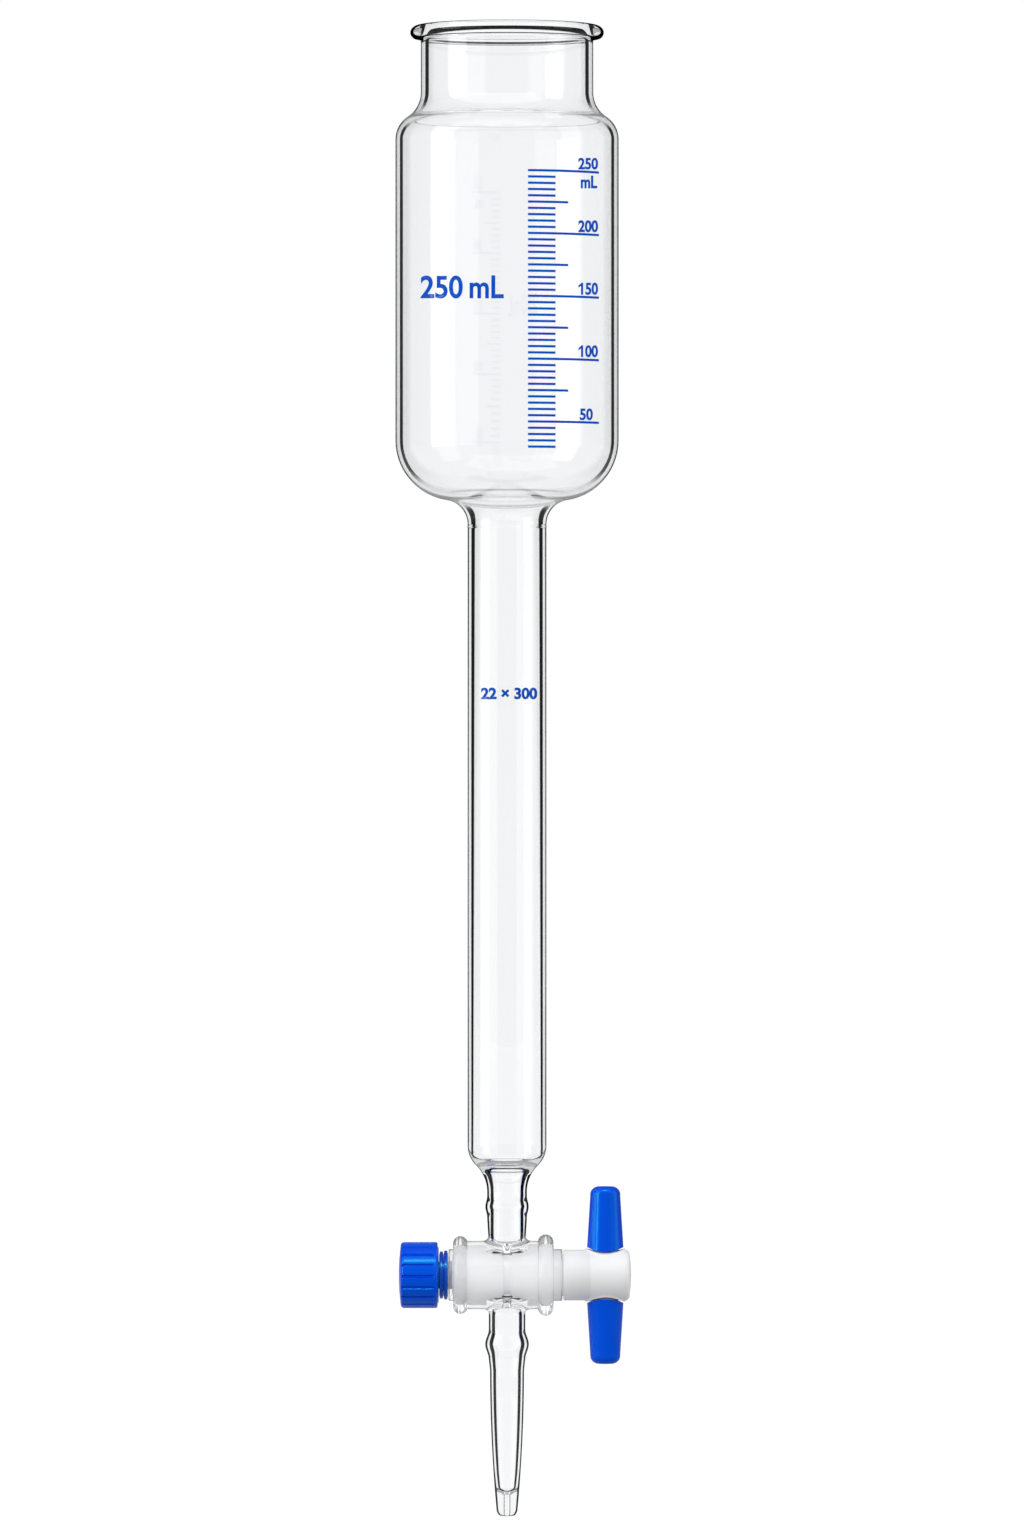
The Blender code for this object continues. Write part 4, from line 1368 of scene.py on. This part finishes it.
@dataclass
class Plug:
    """The white plug: tapered seat, threaded stem, and a head with two bosses."""

    seat: float = 0.00602
    taper: float = 0.0003
    head_end: float = 0.0156
    nut_end: float = 0.0165
    gap: float = 0.0003
    seat_entry: float = 0.0020
    seat_run: float = 0.0060
    seat_bevel: Point = (0.0004, 0.0005)
    head: float = 0.00715
    head_length: float = 0.0191
    head_dome: float = 0.0021
    head_foot_round: float = 0.0003
    dome_round: float = 0.00126
    dome_share: float = 0.80
    nose: Point = (0.0030, 0.00012)
    head_line_depth: float = 0.00012
    head_line_places: tuple[float, float, float, float] = (0.0237, 0.02355, 0.02325, 0.0231)
    stem: float = 0.0040
    stem_length: float = 0.0120
    stem_setback: float = 0.0010
    stem_bevel: float = 0.0006
    fine: float = 0.0001
    thread_depth: float = 0.00045
    thread_pitch: float = 0.0015
    bore: float = 0.0010
    handle_place: float = 0.0277
    boss_half: Point = (0.0055, 0.0044)
    boss_rise: float = 0.00045
    boss_spread: float = 0.0008
    boss_sink: float = 0.00005
    stub: float = 0.0025
    stub_half: float = 0.0200
    groove_half: float = 0.0010
    groove_depth: float = 0.00035
    groove_edge: Point = (0.8, 1.1)
    groove_flare: float = 0.9
    flare_band: Point = (0.75, 1.0)
    groove_rows: tuple[float, ...] = (1.6, 1.25, 1.05, 0.85, 0.5, 0.0, -0.5, -0.85, -1.05, -1.25, -1.6)

    def ends(self) -> tuple[float, float]:
        """Give the places where the seat ends and where the stem ends."""
        seat_end = self.stem_setback - self.nut_end
        return seat_end, seat_end - self.stem_length

    def section(self) -> list[Point]:
        """Give the plug from the tip of its head to the end of its stem.

        Returns:
            The points of (radius, place along the stopcock).
        """
        start = self.head_end + self.gap
        tip = start + self.head_length
        seat_end, stem_end = self.ends()
        dome = (self.head - self.dome_round, tip - self.head_dome)
        points = [(0.0, tip), (self.nose[0], tip - self.nose[1])]
        points += arc(dome, (self.dome_round, self.head_dome * self.dome_share), 80, 0, 12)
        line = self.head - self.head_line_depth
        points += zip((self.head, line, line, self.head), self.head_line_places)
        foot = self.head_foot_round
        points += arc((self.head - foot, start + foot), (foot, foot), 0, -90, 4)
        points += [(self.seat, start)]
        slope = self.taper / (self.head_end + self.nut_end)
        places = [start - self.seat_entry, self.seat_run]
        places += [self.groove_half * row for row in self.groove_rows]
        places += [-self.seat_run, seat_end + self.seat_bevel[1]]
        points += [(self.seat - slope * (start - place), place) for place in places]
        points += [(self.seat - slope * (start - seat_end) - self.seat_bevel[0], seat_end)]
        points += [(self.stem, seat_end)]
        run = ((self.stem, seat_end - 2 * self.fine), (self.stem, stem_end + self.stem_bevel))
        return points + straight(*run, 110) + [(self.stem - self.stem_bevel, stem_end), (0.0, stem_end)]

    def cut(self, radius: float, turn: float, place: float) -> float:
        """Cut the thread into the stem, and the groove round the cross hole into the seat.

        Args:
            radius: Distance of a point from the stopcock's axis.
            turn: Its turn about that axis.
            place: Its place along that axis.

        Returns:
            The new distance from the axis.
        """
        fine = self.fine
        seat_end, stem_end = self.ends()
        if place < seat_end - fine and radius > self.stem - 5 * fine:
            phase = (place / self.thread_pitch + turn / FULL_TURN) % 1.0
            fade = smooth_step(seat_end - 2 * fine, seat_end - 12 * fine, place)
            fade *= smooth_step(stem_end + 2 * fine, stem_end + 10 * fine, place)
            return radius - self.thread_depth * fade * abs(2 * phase - 1)
        if abs(place) < self.groove_half * 1.7 and radius > self.stem + 10 * fine:
            flare = 1 + self.groove_flare * smooth_step(*self.flare_band, abs(math.cos(turn)))
            low, high = (self.groove_half * share for share in self.groove_edge)
            return radius - self.groove_depth * (1 - smooth_step(low, high, abs(place) / flare))
        return radius

    def shape(self) -> bpy.types.Object:
        """Make the plug's body.

        Returns:
            The body.
        """
        body = spun(self.section(), 96, Axis.STOPCOCK, ring=False)
        reshape_radius(body, self.cut)
        plug = loose_object(body, "plug_body")
        for side in (1, -1):
            combined(plug, loose_object(self.boss(side), "boss"), "UNION")
        stubs = upright_rod(self.handle_place, STOPCOCK_AXIS, self.stub, 2 * self.stub_half)
        combined(plug, loose_object(stubs, "stubs"), "UNION")
        hole = upright_rod(0.0, STOPCOCK_AXIS, self.bore, 4 * self.seat)
        return combined(plug, loose_object(hole, "cross_hole"), "DIFFERENCE")

    def boss(self, side: int) -> Shape:
        """Make the low raised boss under a grip.

        Args:
            side: 1 for the upper boss, -1 for the lower one.

        Returns:
            The boss.
        """
        turns = [math.radians(90 - 90 * i / 8) for i in range(9)]
        loops = [(self.boss_spread * (1 - math.sin(t)), self.boss_rise * (1 - math.cos(t)) - self.boss_sink)
                 for t in turns]
        loops += [(self.boss_spread, -self.head / 3)]
        rings = []
        for spread, lift in loops:
            half = (self.boss_half[0] + spread, self.boss_half[1] + spread)
            rings.append(saddle_ring(half, self.head, lift, side, self.handle_place, 72))
        return loft(rings, ring=False)

    def build(self, effects: Effects) -> None:
        """Make the plug and place it.

        Args:
            effects: The shared effects.
        """
        plug = self.shape()
        finish = PlasticFinish("turned_fluoropolymer", (0.93, 0.935, 0.94), 0.34, grain=0.03, wear=0.05)
        plug.data.materials.append(finish.material(effects))
        smoothed(plug, 40)
        placed(plug, "plug", "stopcock_plug")


@dataclass
class Grip:
    """One blue cap of the handle: a taper flattened front to back, saddled on its boss."""

    side: int
    name: str
    node: str
    place: float = 0.0277
    half_span: float = 0.0251
    base_half: float = 0.0052
    end_half: float = 0.00425
    depth_share: float = 0.80
    end_round: float = 0.0024
    end_share: float = 0.97
    crown_share: float = 0.6
    crown_drop: float = 0.00005
    run_start: float = 0.0005
    base_flare: float = 0.0002
    head: float = 0.00715
    saddle_gap: float = 0.00075
    stub: float = 0.0028
    stub_top: float = 0.0203

    def section(self) -> list[Point]:
        """Give the grip from its rounded end to below its base, as heights from the stopcock.

        Returns:
            The points of (radius, height).
        """
        shoulder = self.half_span - self.end_round
        crown = self.end_half - self.end_round
        points = [(0.0, self.half_span), (crown * self.crown_share, self.half_span - self.crown_drop)]
        points += arc((crown, shoulder), (self.end_round, self.end_round * self.end_share), 84, 0, 16)
        base = (self.base_half + self.base_flare, self.head / 2)
        points += straight((self.end_half, shoulder - self.run_start), base, 14)
        return points + [(0.0, base[1])]

    def build(self, finish: bpy.types.Material) -> None:
        """Make the grip and place it.

        Args:
            finish: The material.
        """
        shape = spun(self.section(), 96, ring=False)
        size = Matrix.Diagonal((1.0, self.depth_share, float(self.side), 1.0))
        place = Matrix.Translation((self.place, 0, STOPCOCK_AXIS))
        bmesh.ops.transform(shape, matrix=place @ size, verts=shape.verts)
        bmesh.ops.recalc_face_normals(shape, faces=shape.faces)
        grip = loose_object(shape, self.name)
        saddle = self.head + self.saddle_gap
        outline = [(0.0, 2 * self.place), (saddle, 2 * self.place), (saddle, 0.0), (0.0, 0.0)]
        cutter = spun(outline, 128, Axis.STOPCOCK, ring=False)
        combined(grip, loose_object(cutter, "saddle_cutter"), "DIFFERENCE")
        middle = STOPCOCK_AXIS + self.side * self.stub_top / 2
        socket = upright_rod(self.place, middle, self.stub, self.stub_top)
        combined(grip, loose_object(socket, "socket_cutter"), "DIFFERENCE")
        grip.data.materials.append(finish)
        smoothed(grip, 40)
        placed(grip, "plug", self.node)


# The washer, the ring and the nut


@dataclass
class NutSet:
    """The blue washer and ring on the stem, and the ribbed nut that draws the plug into its seat."""

    bore: float = 0.0043
    washer: float = 0.0069
    ring: float = 0.00665
    thickness: float = 0.00095
    rounding: float = 0.00020
    hub_step: float = 0.0007
    hub_rise: float = 0.00012
    washer_place: float = -0.0168
    ring_place: float = -0.01805
    nut_place: float = -0.0193
    nut: float = 0.0093
    nut_length: float = 0.0107
    nut_edge: float = 0.0010
    lip: float = 0.0079
    lip_length: float = 0.0003
    panels: int = 18
    panel_steps: int = 20
    flatness: float = 0.275
    groove: float = 0.00062
    groove_depth: float = 0.00050
    groove_edge: Point = (0.35, 0.62)
    plain_band: float = 0.0010
    floor: float = -0.0278
    mouth_bevel: float = 0.0003
    lip_bevel: float = 0.0001
    front_round: float = 0.0005
    fine: float = 0.0001
    dome: tuple[Point, ...] = ((0.0072, 0.00012), (0.0045, 0.00038), (0.0020, 0.00048), (0.0, 0.0005))

    def ring_section(self, radius: float, place: float) -> list[Point]:
        """Give a ring with a rounded outer edge.

        Args:
            radius: Outer radius of the ring.
            place: Place of its face nearest the barrel.

        Returns:
            The points of (radius, place along the stopcock).
        """
        hub = radius - self.hub_step
        back = place - self.thickness
        ease = self.rounding
        points = [(hub, place + self.hub_rise), (hub, place)]
        points += arc((radius - ease, place - ease), (ease, ease), 90, 0, 8)
        points += arc((radius - ease, back + ease), (ease, ease), 0, -90, 8)
        points += [(hub, back), (hub, back - self.hub_rise), (self.bore, back - self.hub_rise)]
        return points + [(self.bore, place + self.hub_rise)]

    def nut_section(self) -> list[Point]:
        """Give the nut from the floor of its bore, over its open face, to the middle of its closed end.

        Returns:
            The points of (radius, place along the stopcock).
        """
        top, nut, fine = self.nut_place, self.nut, self.fine
        face = top - self.lip_length
        end = top - self.nut_length
        points = [(0.0, self.floor), (self.bore, self.floor), (self.bore, top - self.mouth_bevel)]
        points += [(self.bore + self.mouth_bevel, top), (self.lip - self.lip_bevel, top)]
        points += [(self.lip, face + self.lip_bevel)]
        ease = self.front_round
        points += arc((nut - ease, face - ease), (ease, ease), 90, 0, 5)
        start = face - self.plain_band
        points += straight((nut, start + 3 * fine), (nut, start - 3 * fine), 5)
        last = end + self.nut_edge * 0.6
        points += straight((nut, start - 8 * fine), (nut, last + 8 * fine), 6)
        edge = self.nut_edge
        points += arc((nut - edge, end + edge), (edge, edge), 0, -84, 12)
        return points + [(radius, end - bulge) for radius, bulge in self.dome]

    def carve(self, radius: float, turn: float, place: float) -> float:
        """Sink the grooves between the flat panels.

        Args:
            radius: Distance of a point from the stopcock's axis.
            turn: Its turn about that axis.
            place: Its place along that axis.

        Returns:
            The new distance from the axis.
        """
        start = self.nut_place - self.lip_length - self.plain_band
        end = self.nut_place - self.nut_length + self.nut_edge * 0.35
        fine = self.fine
        if radius < self.nut - self.nut_edge or not end < place < start + 2 * fine:
            return radius
        pitch = FULL_TURN / self.panels
        off = ((turn / pitch) % 1.0 - 0.5) * pitch
        window = smooth_step(start + fine, start - fine, place) * smooth_step(end, end + 2 * fine, place)
        low, high = (self.groove * share for share in self.groove_edge)
        groove = 1 - smooth_step(low, high, abs(off) * radius)
        flat = radius * (1 - math.cos(pitch / 2 - abs(off))) * self.flatness
        return radius - window * (groove * self.groove_depth + flat)

    def build(self, finish: bpy.types.Material, glossy: bpy.types.Material) -> None:
        """Make the washer, the ring and the nut, and place them.

        Args:
            finish: Material of the nut.
            glossy: Material of the washer and the ring, the blue painted darker as shade, with more shine.
        """
        rows = [("stem_washer", self.washer, self.washer_place, "plug", "blue_plastic", "friction_washer"),
                ("stem_ring_piece", self.ring, self.ring_place, "ring", "blue_ring", "stem_ring")]
        for name, radius, place, body, slot, node in rows:
            piece = loose_object(spun(self.ring_section(radius, place), 96, Axis.STOPCOCK), name)
            piece.data.materials.append(glossy)
            smoothed(piece, 40)
            placed(piece, body, node)
        shape = spun(self.nut_section(), self.panels * self.panel_steps, Axis.STOPCOCK, ring=False)
        reshape_radius(shape, self.carve)
        nut = loose_object(shape, "ribbed_nut")
        nut.data.materials.append(finish)
        smoothed(nut, 40)
        placed(nut, "nut", "tension_nut")


# The printed scale


@dataclass(frozen=True)
class Words:
    """Some words of the print. The box is their left, right, top and bottom in the picture, in pixels."""

    name: str
    words: str
    box: tuple[float, float, float, float]
    bold: float = 0.034


@dataclass
class Print:
    """The fired print: the graduated scale, the capacity and the size, wrapped on the glass."""

    eye: float = 3.1
    eye_height: float = 0.0198
    pixel: float = 0.000282
    middle_column: float = 507.0
    origin_row: float = 838.1
    film: float = 0.00002
    lift: float = 0.00001
    reservoir: float = 0.03146
    tube: float = 0.0111
    line: float = 0.00066
    letter_half: float = 0.01
    flags: dict[str, tuple[float, float, float, float]] = field(default_factory=lambda: {
        "150": (578.4, 582.2, 282.4, 287.6), "100": (578.4, 582.2, 345.0, 350.2)})
    flag_slope: Point = (0.55, 0.45)
    mark_count: int = 45
    mark_parts: int = 16
    mark_start: float = 528.0
    short_end: float = 555.5
    medium_end: float = 568.2
    long_end: float = 598.9
    top_row: float = 169.9
    row_step: float = 6.284
    texts: tuple[Words, ...] = (
        Words("scale_250", "250", (578.3, 598.0, 157.6, 169.4)),
        Words("scale_unit", "mL", (580.8, 597.2, 175.4, 188.2), 0.036),
        Words("scale_200", "200", (578.3, 598.0, 220.0, 232.2)),
        Words("scale_150", "150", (581.0, 598.0, 282.4, 294.8)),
        Words("scale_100", "100", (581.0, 597.9, 345.0, 357.2)),
        Words("scale_50", "50", (579.8, 592.8, 408.2, 420.2)),
        Words("capacity", "250", (420.6, 462.8, 275.3, 298.4), 0.022),
        Words("capacity_unit", "mL", (469.6, 503.8, 275.1, 298.2), 0.022))
    size_text: Words = Words("size_print", "22 × 300", (481.0, 537.2, 687.4, 699.3), 0.042)

    def on_wall(self, column: float, row: float, radius: float) -> Point:
        """Find where a sight line meets the front of an upright wall.

        Args:
            column: Place across the picture, in pixels.
            row: Place down the picture, in pixels.
            radius: Radius of the wall.

        Returns:
            The turn round the wall from its front, and the height.
        """
        across = (column - self.middle_column) * self.pixel
        height = (self.origin_row - row) * self.pixel
        depth = radius
        for _ in range(4):
            nearer = 1 - depth / self.eye
            turn = math.asin(max(min(across * nearer / radius, 0.999), -0.999))
            depth = radius * math.cos(turn)
        return turn, self.eye_height + (height - self.eye_height) * nearer

    def wrapped(self, turn: float, height: float, reach: float) -> Vector:
        """Give the point at a turn round the glass from its front, a height and a reach from the axis."""
        return Vector((reach * math.sin(turn), -reach * math.cos(turn), height))

    def marks(self) -> Shape:
        """Make all the lines of the scale, a long one for each 50 and a medium one between.

        Returns:
            The lines.
        """
        shape = bmesh.new()
        for i in range(self.mark_count):
            end = self.long_end if i % 10 == 0 else self.medium_end if i % 5 == 0 else self.short_end
            row = self.top_row + self.row_step * i
            first, height = self.on_wall(self.mark_start, row, self.reservoir)
            last, _ = self.on_wall(end, row, self.reservoir)
            size = Matrix.Diagonal((last - first, 1.0, self.line, 1.0))
            place = Matrix.Translation(((first + last) / 2, 0.5, height))
            bmesh.ops.create_cube(shape, size=1.0, matrix=place @ size)
        along = [edge for edge in shape.edges if abs(edge.verts[0].co.x - edge.verts[1].co.x) > 0.01]
        bmesh.ops.subdivide_edges(shape, edges=along, cuts=self.mark_parts - 1)
        for vert in shape.verts:
            reach = self.reservoir + self.lift + self.film * (vert.co.y - 0.5)
            vert.co = self.wrapped(vert.co.x, vert.co.z, reach)
        bmesh.ops.recalc_face_normals(shape, faces=shape.faces)
        return shape

    def flag(self, left: float, right: float, top: float, bottom: float) -> Shape:
        """Make the slanting stroke in front of the figure 1.

        Args:
            left: Left edge of the box, in pixels.
            right: Its right edge.
            top: Its top edge.
            bottom: Its bottom edge.

        Returns:
            The stroke.
        """
        shape = bmesh.new()
        bmesh.ops.create_cube(shape, size=1.0, matrix=Matrix.Translation((0.5, 0.5, 0.5)))
        for vert in shape.verts:
            column = left + (right - left) * vert.co.x
            up = self.flag_slope[0] * vert.co.x + self.flag_slope[1] * vert.co.z
            row = bottom + (top - bottom) * up
            turn, height = self.on_wall(column, row, self.reservoir)
            reach = self.reservoir + self.lift + self.film * (vert.co.y - 0.5)
            vert.co = self.wrapped(turn, height, reach)
        bmesh.ops.recalc_face_normals(shape, faces=shape.faces)
        return shape

    def lettering(self, text: Words, radius: float) -> Shape:
        """Make words that fill their box of the picture, laid on a wall.

        Args:
            text: The words.
            radius: Radius of the wall.

        Returns:
            The wrapped letters.
        """
        curve = bpy.data.curves.new("words", "FONT")
        curve.body = text.words
        curve.resolution_u = 6
        curve.offset = text.bold
        curve.extrude = self.letter_half
        curve.fill_mode = "BOTH"
        written = bpy.data.objects.new("words", curve)
        bpy.context.scene.collection.objects.link(written)
        view = bpy.context.evaluated_depsgraph_get()
        flat = bpy.data.meshes.new_from_object(written.evaluated_get(view))
        bpy.data.objects.remove(written)
        shape = bmesh.new()
        shape.from_mesh(flat)
        bpy.data.meshes.remove(flat)
        bmesh.ops.remove_doubles(shape, verts=shape.verts, dist=1e-5)
        low_x, high_x = min(v.co.x for v in shape.verts), max(v.co.x for v in shape.verts)
        low_y, high_y = min(v.co.y for v in shape.verts), max(v.co.y for v in shape.verts)
        left, right, top, bottom = text.box
        for vert in shape.verts:
            column = left + (right - left) * (vert.co.x - low_x) / (high_x - low_x)
            row = bottom + (top - bottom) * (vert.co.y - low_y) / (high_y - low_y)
            turn, height = self.on_wall(column, row, radius)
            reach = radius + self.lift + self.film * vert.co.z / self.letter_half
            vert.co = self.wrapped(turn, height, reach)
        bmesh.ops.recalc_face_normals(shape, faces=shape.faces)
        return shape

    def build(self) -> None:
        """Print the scale and the words."""
        ink = InkFinish().material()
        pieces = [("scale_marks", self.marks())]
        pieces += [(text.name, self.lettering(text, self.reservoir)) for text in self.texts]
        pieces += [("flag_" + number, self.flag(*box)) for number, box in self.flags.items()]
        pieces.append((self.size_text.name, self.lettering(self.size_text, self.tube)))
        for name, shape in pieces:
            piece = loose_object(shape, name)
            piece.data.materials.append(ink)
            placed(piece, "column")


# The studio


@dataclass
class Studio:
    """A pale floor, a white surround, soft lamps and the camera."""

    eye: Vector = field(default_factory=lambda: Vector((0.0014, -3.1, 0.0198)))
    frame_height: float = 0.4332
    floor_height: float = -0.196
    floor_half: float = 3.0
    floor_tone: Colour = (0.45, 0.45, 0.45)
    floor_glow: float = 1.12
    floor_seen: float = 0.88
    lamp_distance: float = 1.4
    lamp_target: float = 0.02
    matt_light: Point = (0.20, 0.90)
    gloss_run: Point = (-0.6, 0.5)
    gloss_light: Point = (0.60, 0.16)
    deep_light: float = 0.92
    deep_bounces: float = 1.5
    sensor: float = 36.0

    def surround(self) -> None:
        """Light the world softly from above, and show it white behind the object."""
        world = bpy.data.worlds.new("studio")
        bpy.context.scene.world = world
        world.use_nodes = True
        world.node_tree.nodes.clear()
        hand = Nodes(world.node_tree)
        up = hand.add("ShaderNodeSeparateXYZ")
        hand.feed(up.inputs[0], hand.add("ShaderNodeTexCoord").outputs["Generated"])
        matt = hand.ramp(up.outputs["Z"], -1.0, 1.0, *self.matt_light, smooth=False)
        gloss = hand.ramp(up.outputs["Y"], *self.gloss_run, *self.gloss_light)
        tone = hand.add("ShaderNodeCombineColor")
        path = hand.add("ShaderNodeLightPath")
        gap = hand.math("SUBTRACT", matt, gloss)
        level = hand.math("ADD", gloss, hand.math("MULTIPLY", path.outputs["Is Diffuse Ray"], gap))
        for socket in tone.inputs:
            hand.feed(socket, level)
        seen = hand.math("MAXIMUM", path.outputs["Is Camera Ray"], path.outputs["Is Transmission Ray"])
        deep = hand.math("GREATER_THAN", path.outputs["Glossy Depth"], self.deep_bounces)
        seen = hand.math("MAXIMUM", seen, hand.math("MULTIPLY", deep, self.deep_light))
        light = hand.add("ShaderNodeBackground")
        hand.feed(light.inputs["Color"], hand.mix(seen, tone.outputs[0], (1.0, 1.0, 1.0)))
        output = hand.add("ShaderNodeOutputWorld")
        hand.feed(output.inputs["Surface"], light.outputs[0])

    def lamp(self, name: str, turn: float, lift: float, size: Point, power: float,
             only: bpy.types.Collection | None = None) -> None:
        """Hang a soft lamp round the object.

        Args:
            name: Name of the lamp.
            turn: Degrees round from the camera, to the right.
            lift: Degrees above the object.
            size: Width and height of the lamp.
            power: Power in watts.
            only: Pieces that the lamp lights, or None for all.
        """
        data = bpy.data.lights.new(name, "AREA")
        data.shape = "RECTANGLE"
        data.size, data.size_y = size
        data.energy = power
        lamp = bpy.data.objects.new(name, data)
        bpy.context.scene.collection.objects.link(lamp)
        around, above = math.radians(turn), math.radians(lift)
        flat = math.cos(above)
        way = Vector((math.sin(around) * flat, -math.cos(around) * flat, math.sin(above)))
        lamp.location = way * self.lamp_distance + Vector((0, 0, self.lamp_target))
        lamp.rotation_euler = (-way).to_track_quat("-Z", "Y").to_euler()
        lamp.visible_camera = False
        if only:
            lamp.light_linking.receiver_collection = only

    def floor(self) -> None:
        """Lay the pale floor, white to the eye and shaded where the object keeps light off it."""
        shape = bmesh.new()
        bmesh.ops.create_grid(shape, x_segments=1, y_segments=1, size=self.floor_half,
                              matrix=Matrix.Translation((0, 0, self.floor_height)))
        floor = loose_object(shape, "floor")
        material, hand, output = new_material("pale_floor")
        matt = hand.add("ShaderNodeBsdfDiffuse")
        matt.inputs["Color"].default_value = (*self.floor_tone, 1.0)
        glow = hand.add("ShaderNodeEmission")
        glow.inputs["Strength"].default_value = self.floor_glow
        path = hand.add("ShaderNodeLightPath")
        seen = hand.math("MAXIMUM", path.outputs["Is Camera Ray"], path.outputs["Is Transmission Ray"])
        blend = hand.add("ShaderNodeMixShader")
        hand.feed(blend.inputs[0], hand.math("MULTIPLY", seen, self.floor_seen))
        hand.feed(blend.inputs[1], matt.outputs[0])
        hand.feed(blend.inputs[2], glow.outputs[0])
        hand.feed(output.inputs["Surface"], blend.outputs[0])
        floor.data.materials.append(material)

    def camera(self) -> None:
        """Stand the camera far off at the object's middle height."""
        data = bpy.data.cameras.new("camera")
        data.sensor_fit = "VERTICAL"
        data.sensor_height = self.sensor
        data.lens = self.sensor * abs(self.eye.y) / self.frame_height
        data.clip_end = 100.0
        camera = bpy.data.objects.new("camera", data)
        bpy.context.scene.collection.objects.link(camera)
        camera.location = self.eye
        camera.rotation_euler = (math.pi / 2, 0, 0)
        bpy.context.scene.camera = camera

    def build(self) -> None:
        """Set up the studio."""
        bpy.context.scene.view_settings.view_transform = "Standard"
        self.surround()
        self.lamp("left_lamp", -71.0, 6.0, (0.72, 1.7), 8.5)
        self.lamp("right_lamp", 71.0, 6.0, (0.66, 1.7), 3.5)
        self.lamp("left_fill", -42.0, 4.0, (0.60, 1.6), 1.6)
        self.lamp("right_fill", 42.0, 4.0, (0.60, 1.6), 1.0)
        self.lamp("top_lamp", -8.0, 52.0, (2.4, 1.0), 6.5)
        plastic = bpy.data.collections.new("blue_plastic")
        for name in ("upper_grip", "lower_grip", "ribbed_nut", "stem_washer", "stem_ring_piece"):
            plastic.objects.link(bpy.data.objects[name])
        self.lamp("grip_lamp", -47.0, 6.0, (0.12, 1.2), 4.0, plastic)
        self.lamp("nut_lamp", -4.0, 50.0, (0.5, 0.14), 3.0, plastic)
        self.floor()
        self.camera()


def main() -> None:
    """Build the column and its studio."""
    logging.basicConfig(level=logging.INFO, format="%(message)s")
    effects = Effects()
    GlassColumn().build(effects)
    Plug().build(effects)
    blue = PlasticFinish("blue_moulding", (0.0, 0.048, 0.66), 0.19, wear=0.0, shine=0.8,
                         shine_tint=(0.05, 0.80, 1.0)).material(effects)
    # The washer and ring get the grips' blue painted darker, as painted shade, and a glossier finish
    glossy = PlasticFinish("shaded_glossy_blue", (0.0, 0.040, 0.48), 0.15, wear=0.0, shine=1.0,
                           shine_tint=(0.15, 0.90, 1.0)).material(effects)
    for side, name, node in ((1, "upper_grip", "grip_upper"), (-1, "lower_grip", "grip_lower")):
        Grip(side, name, node).build(blue)
    NutSet().build(blue, glossy)
    Print().build()
    Studio().build()


if __name__ == "__main__":
    main()
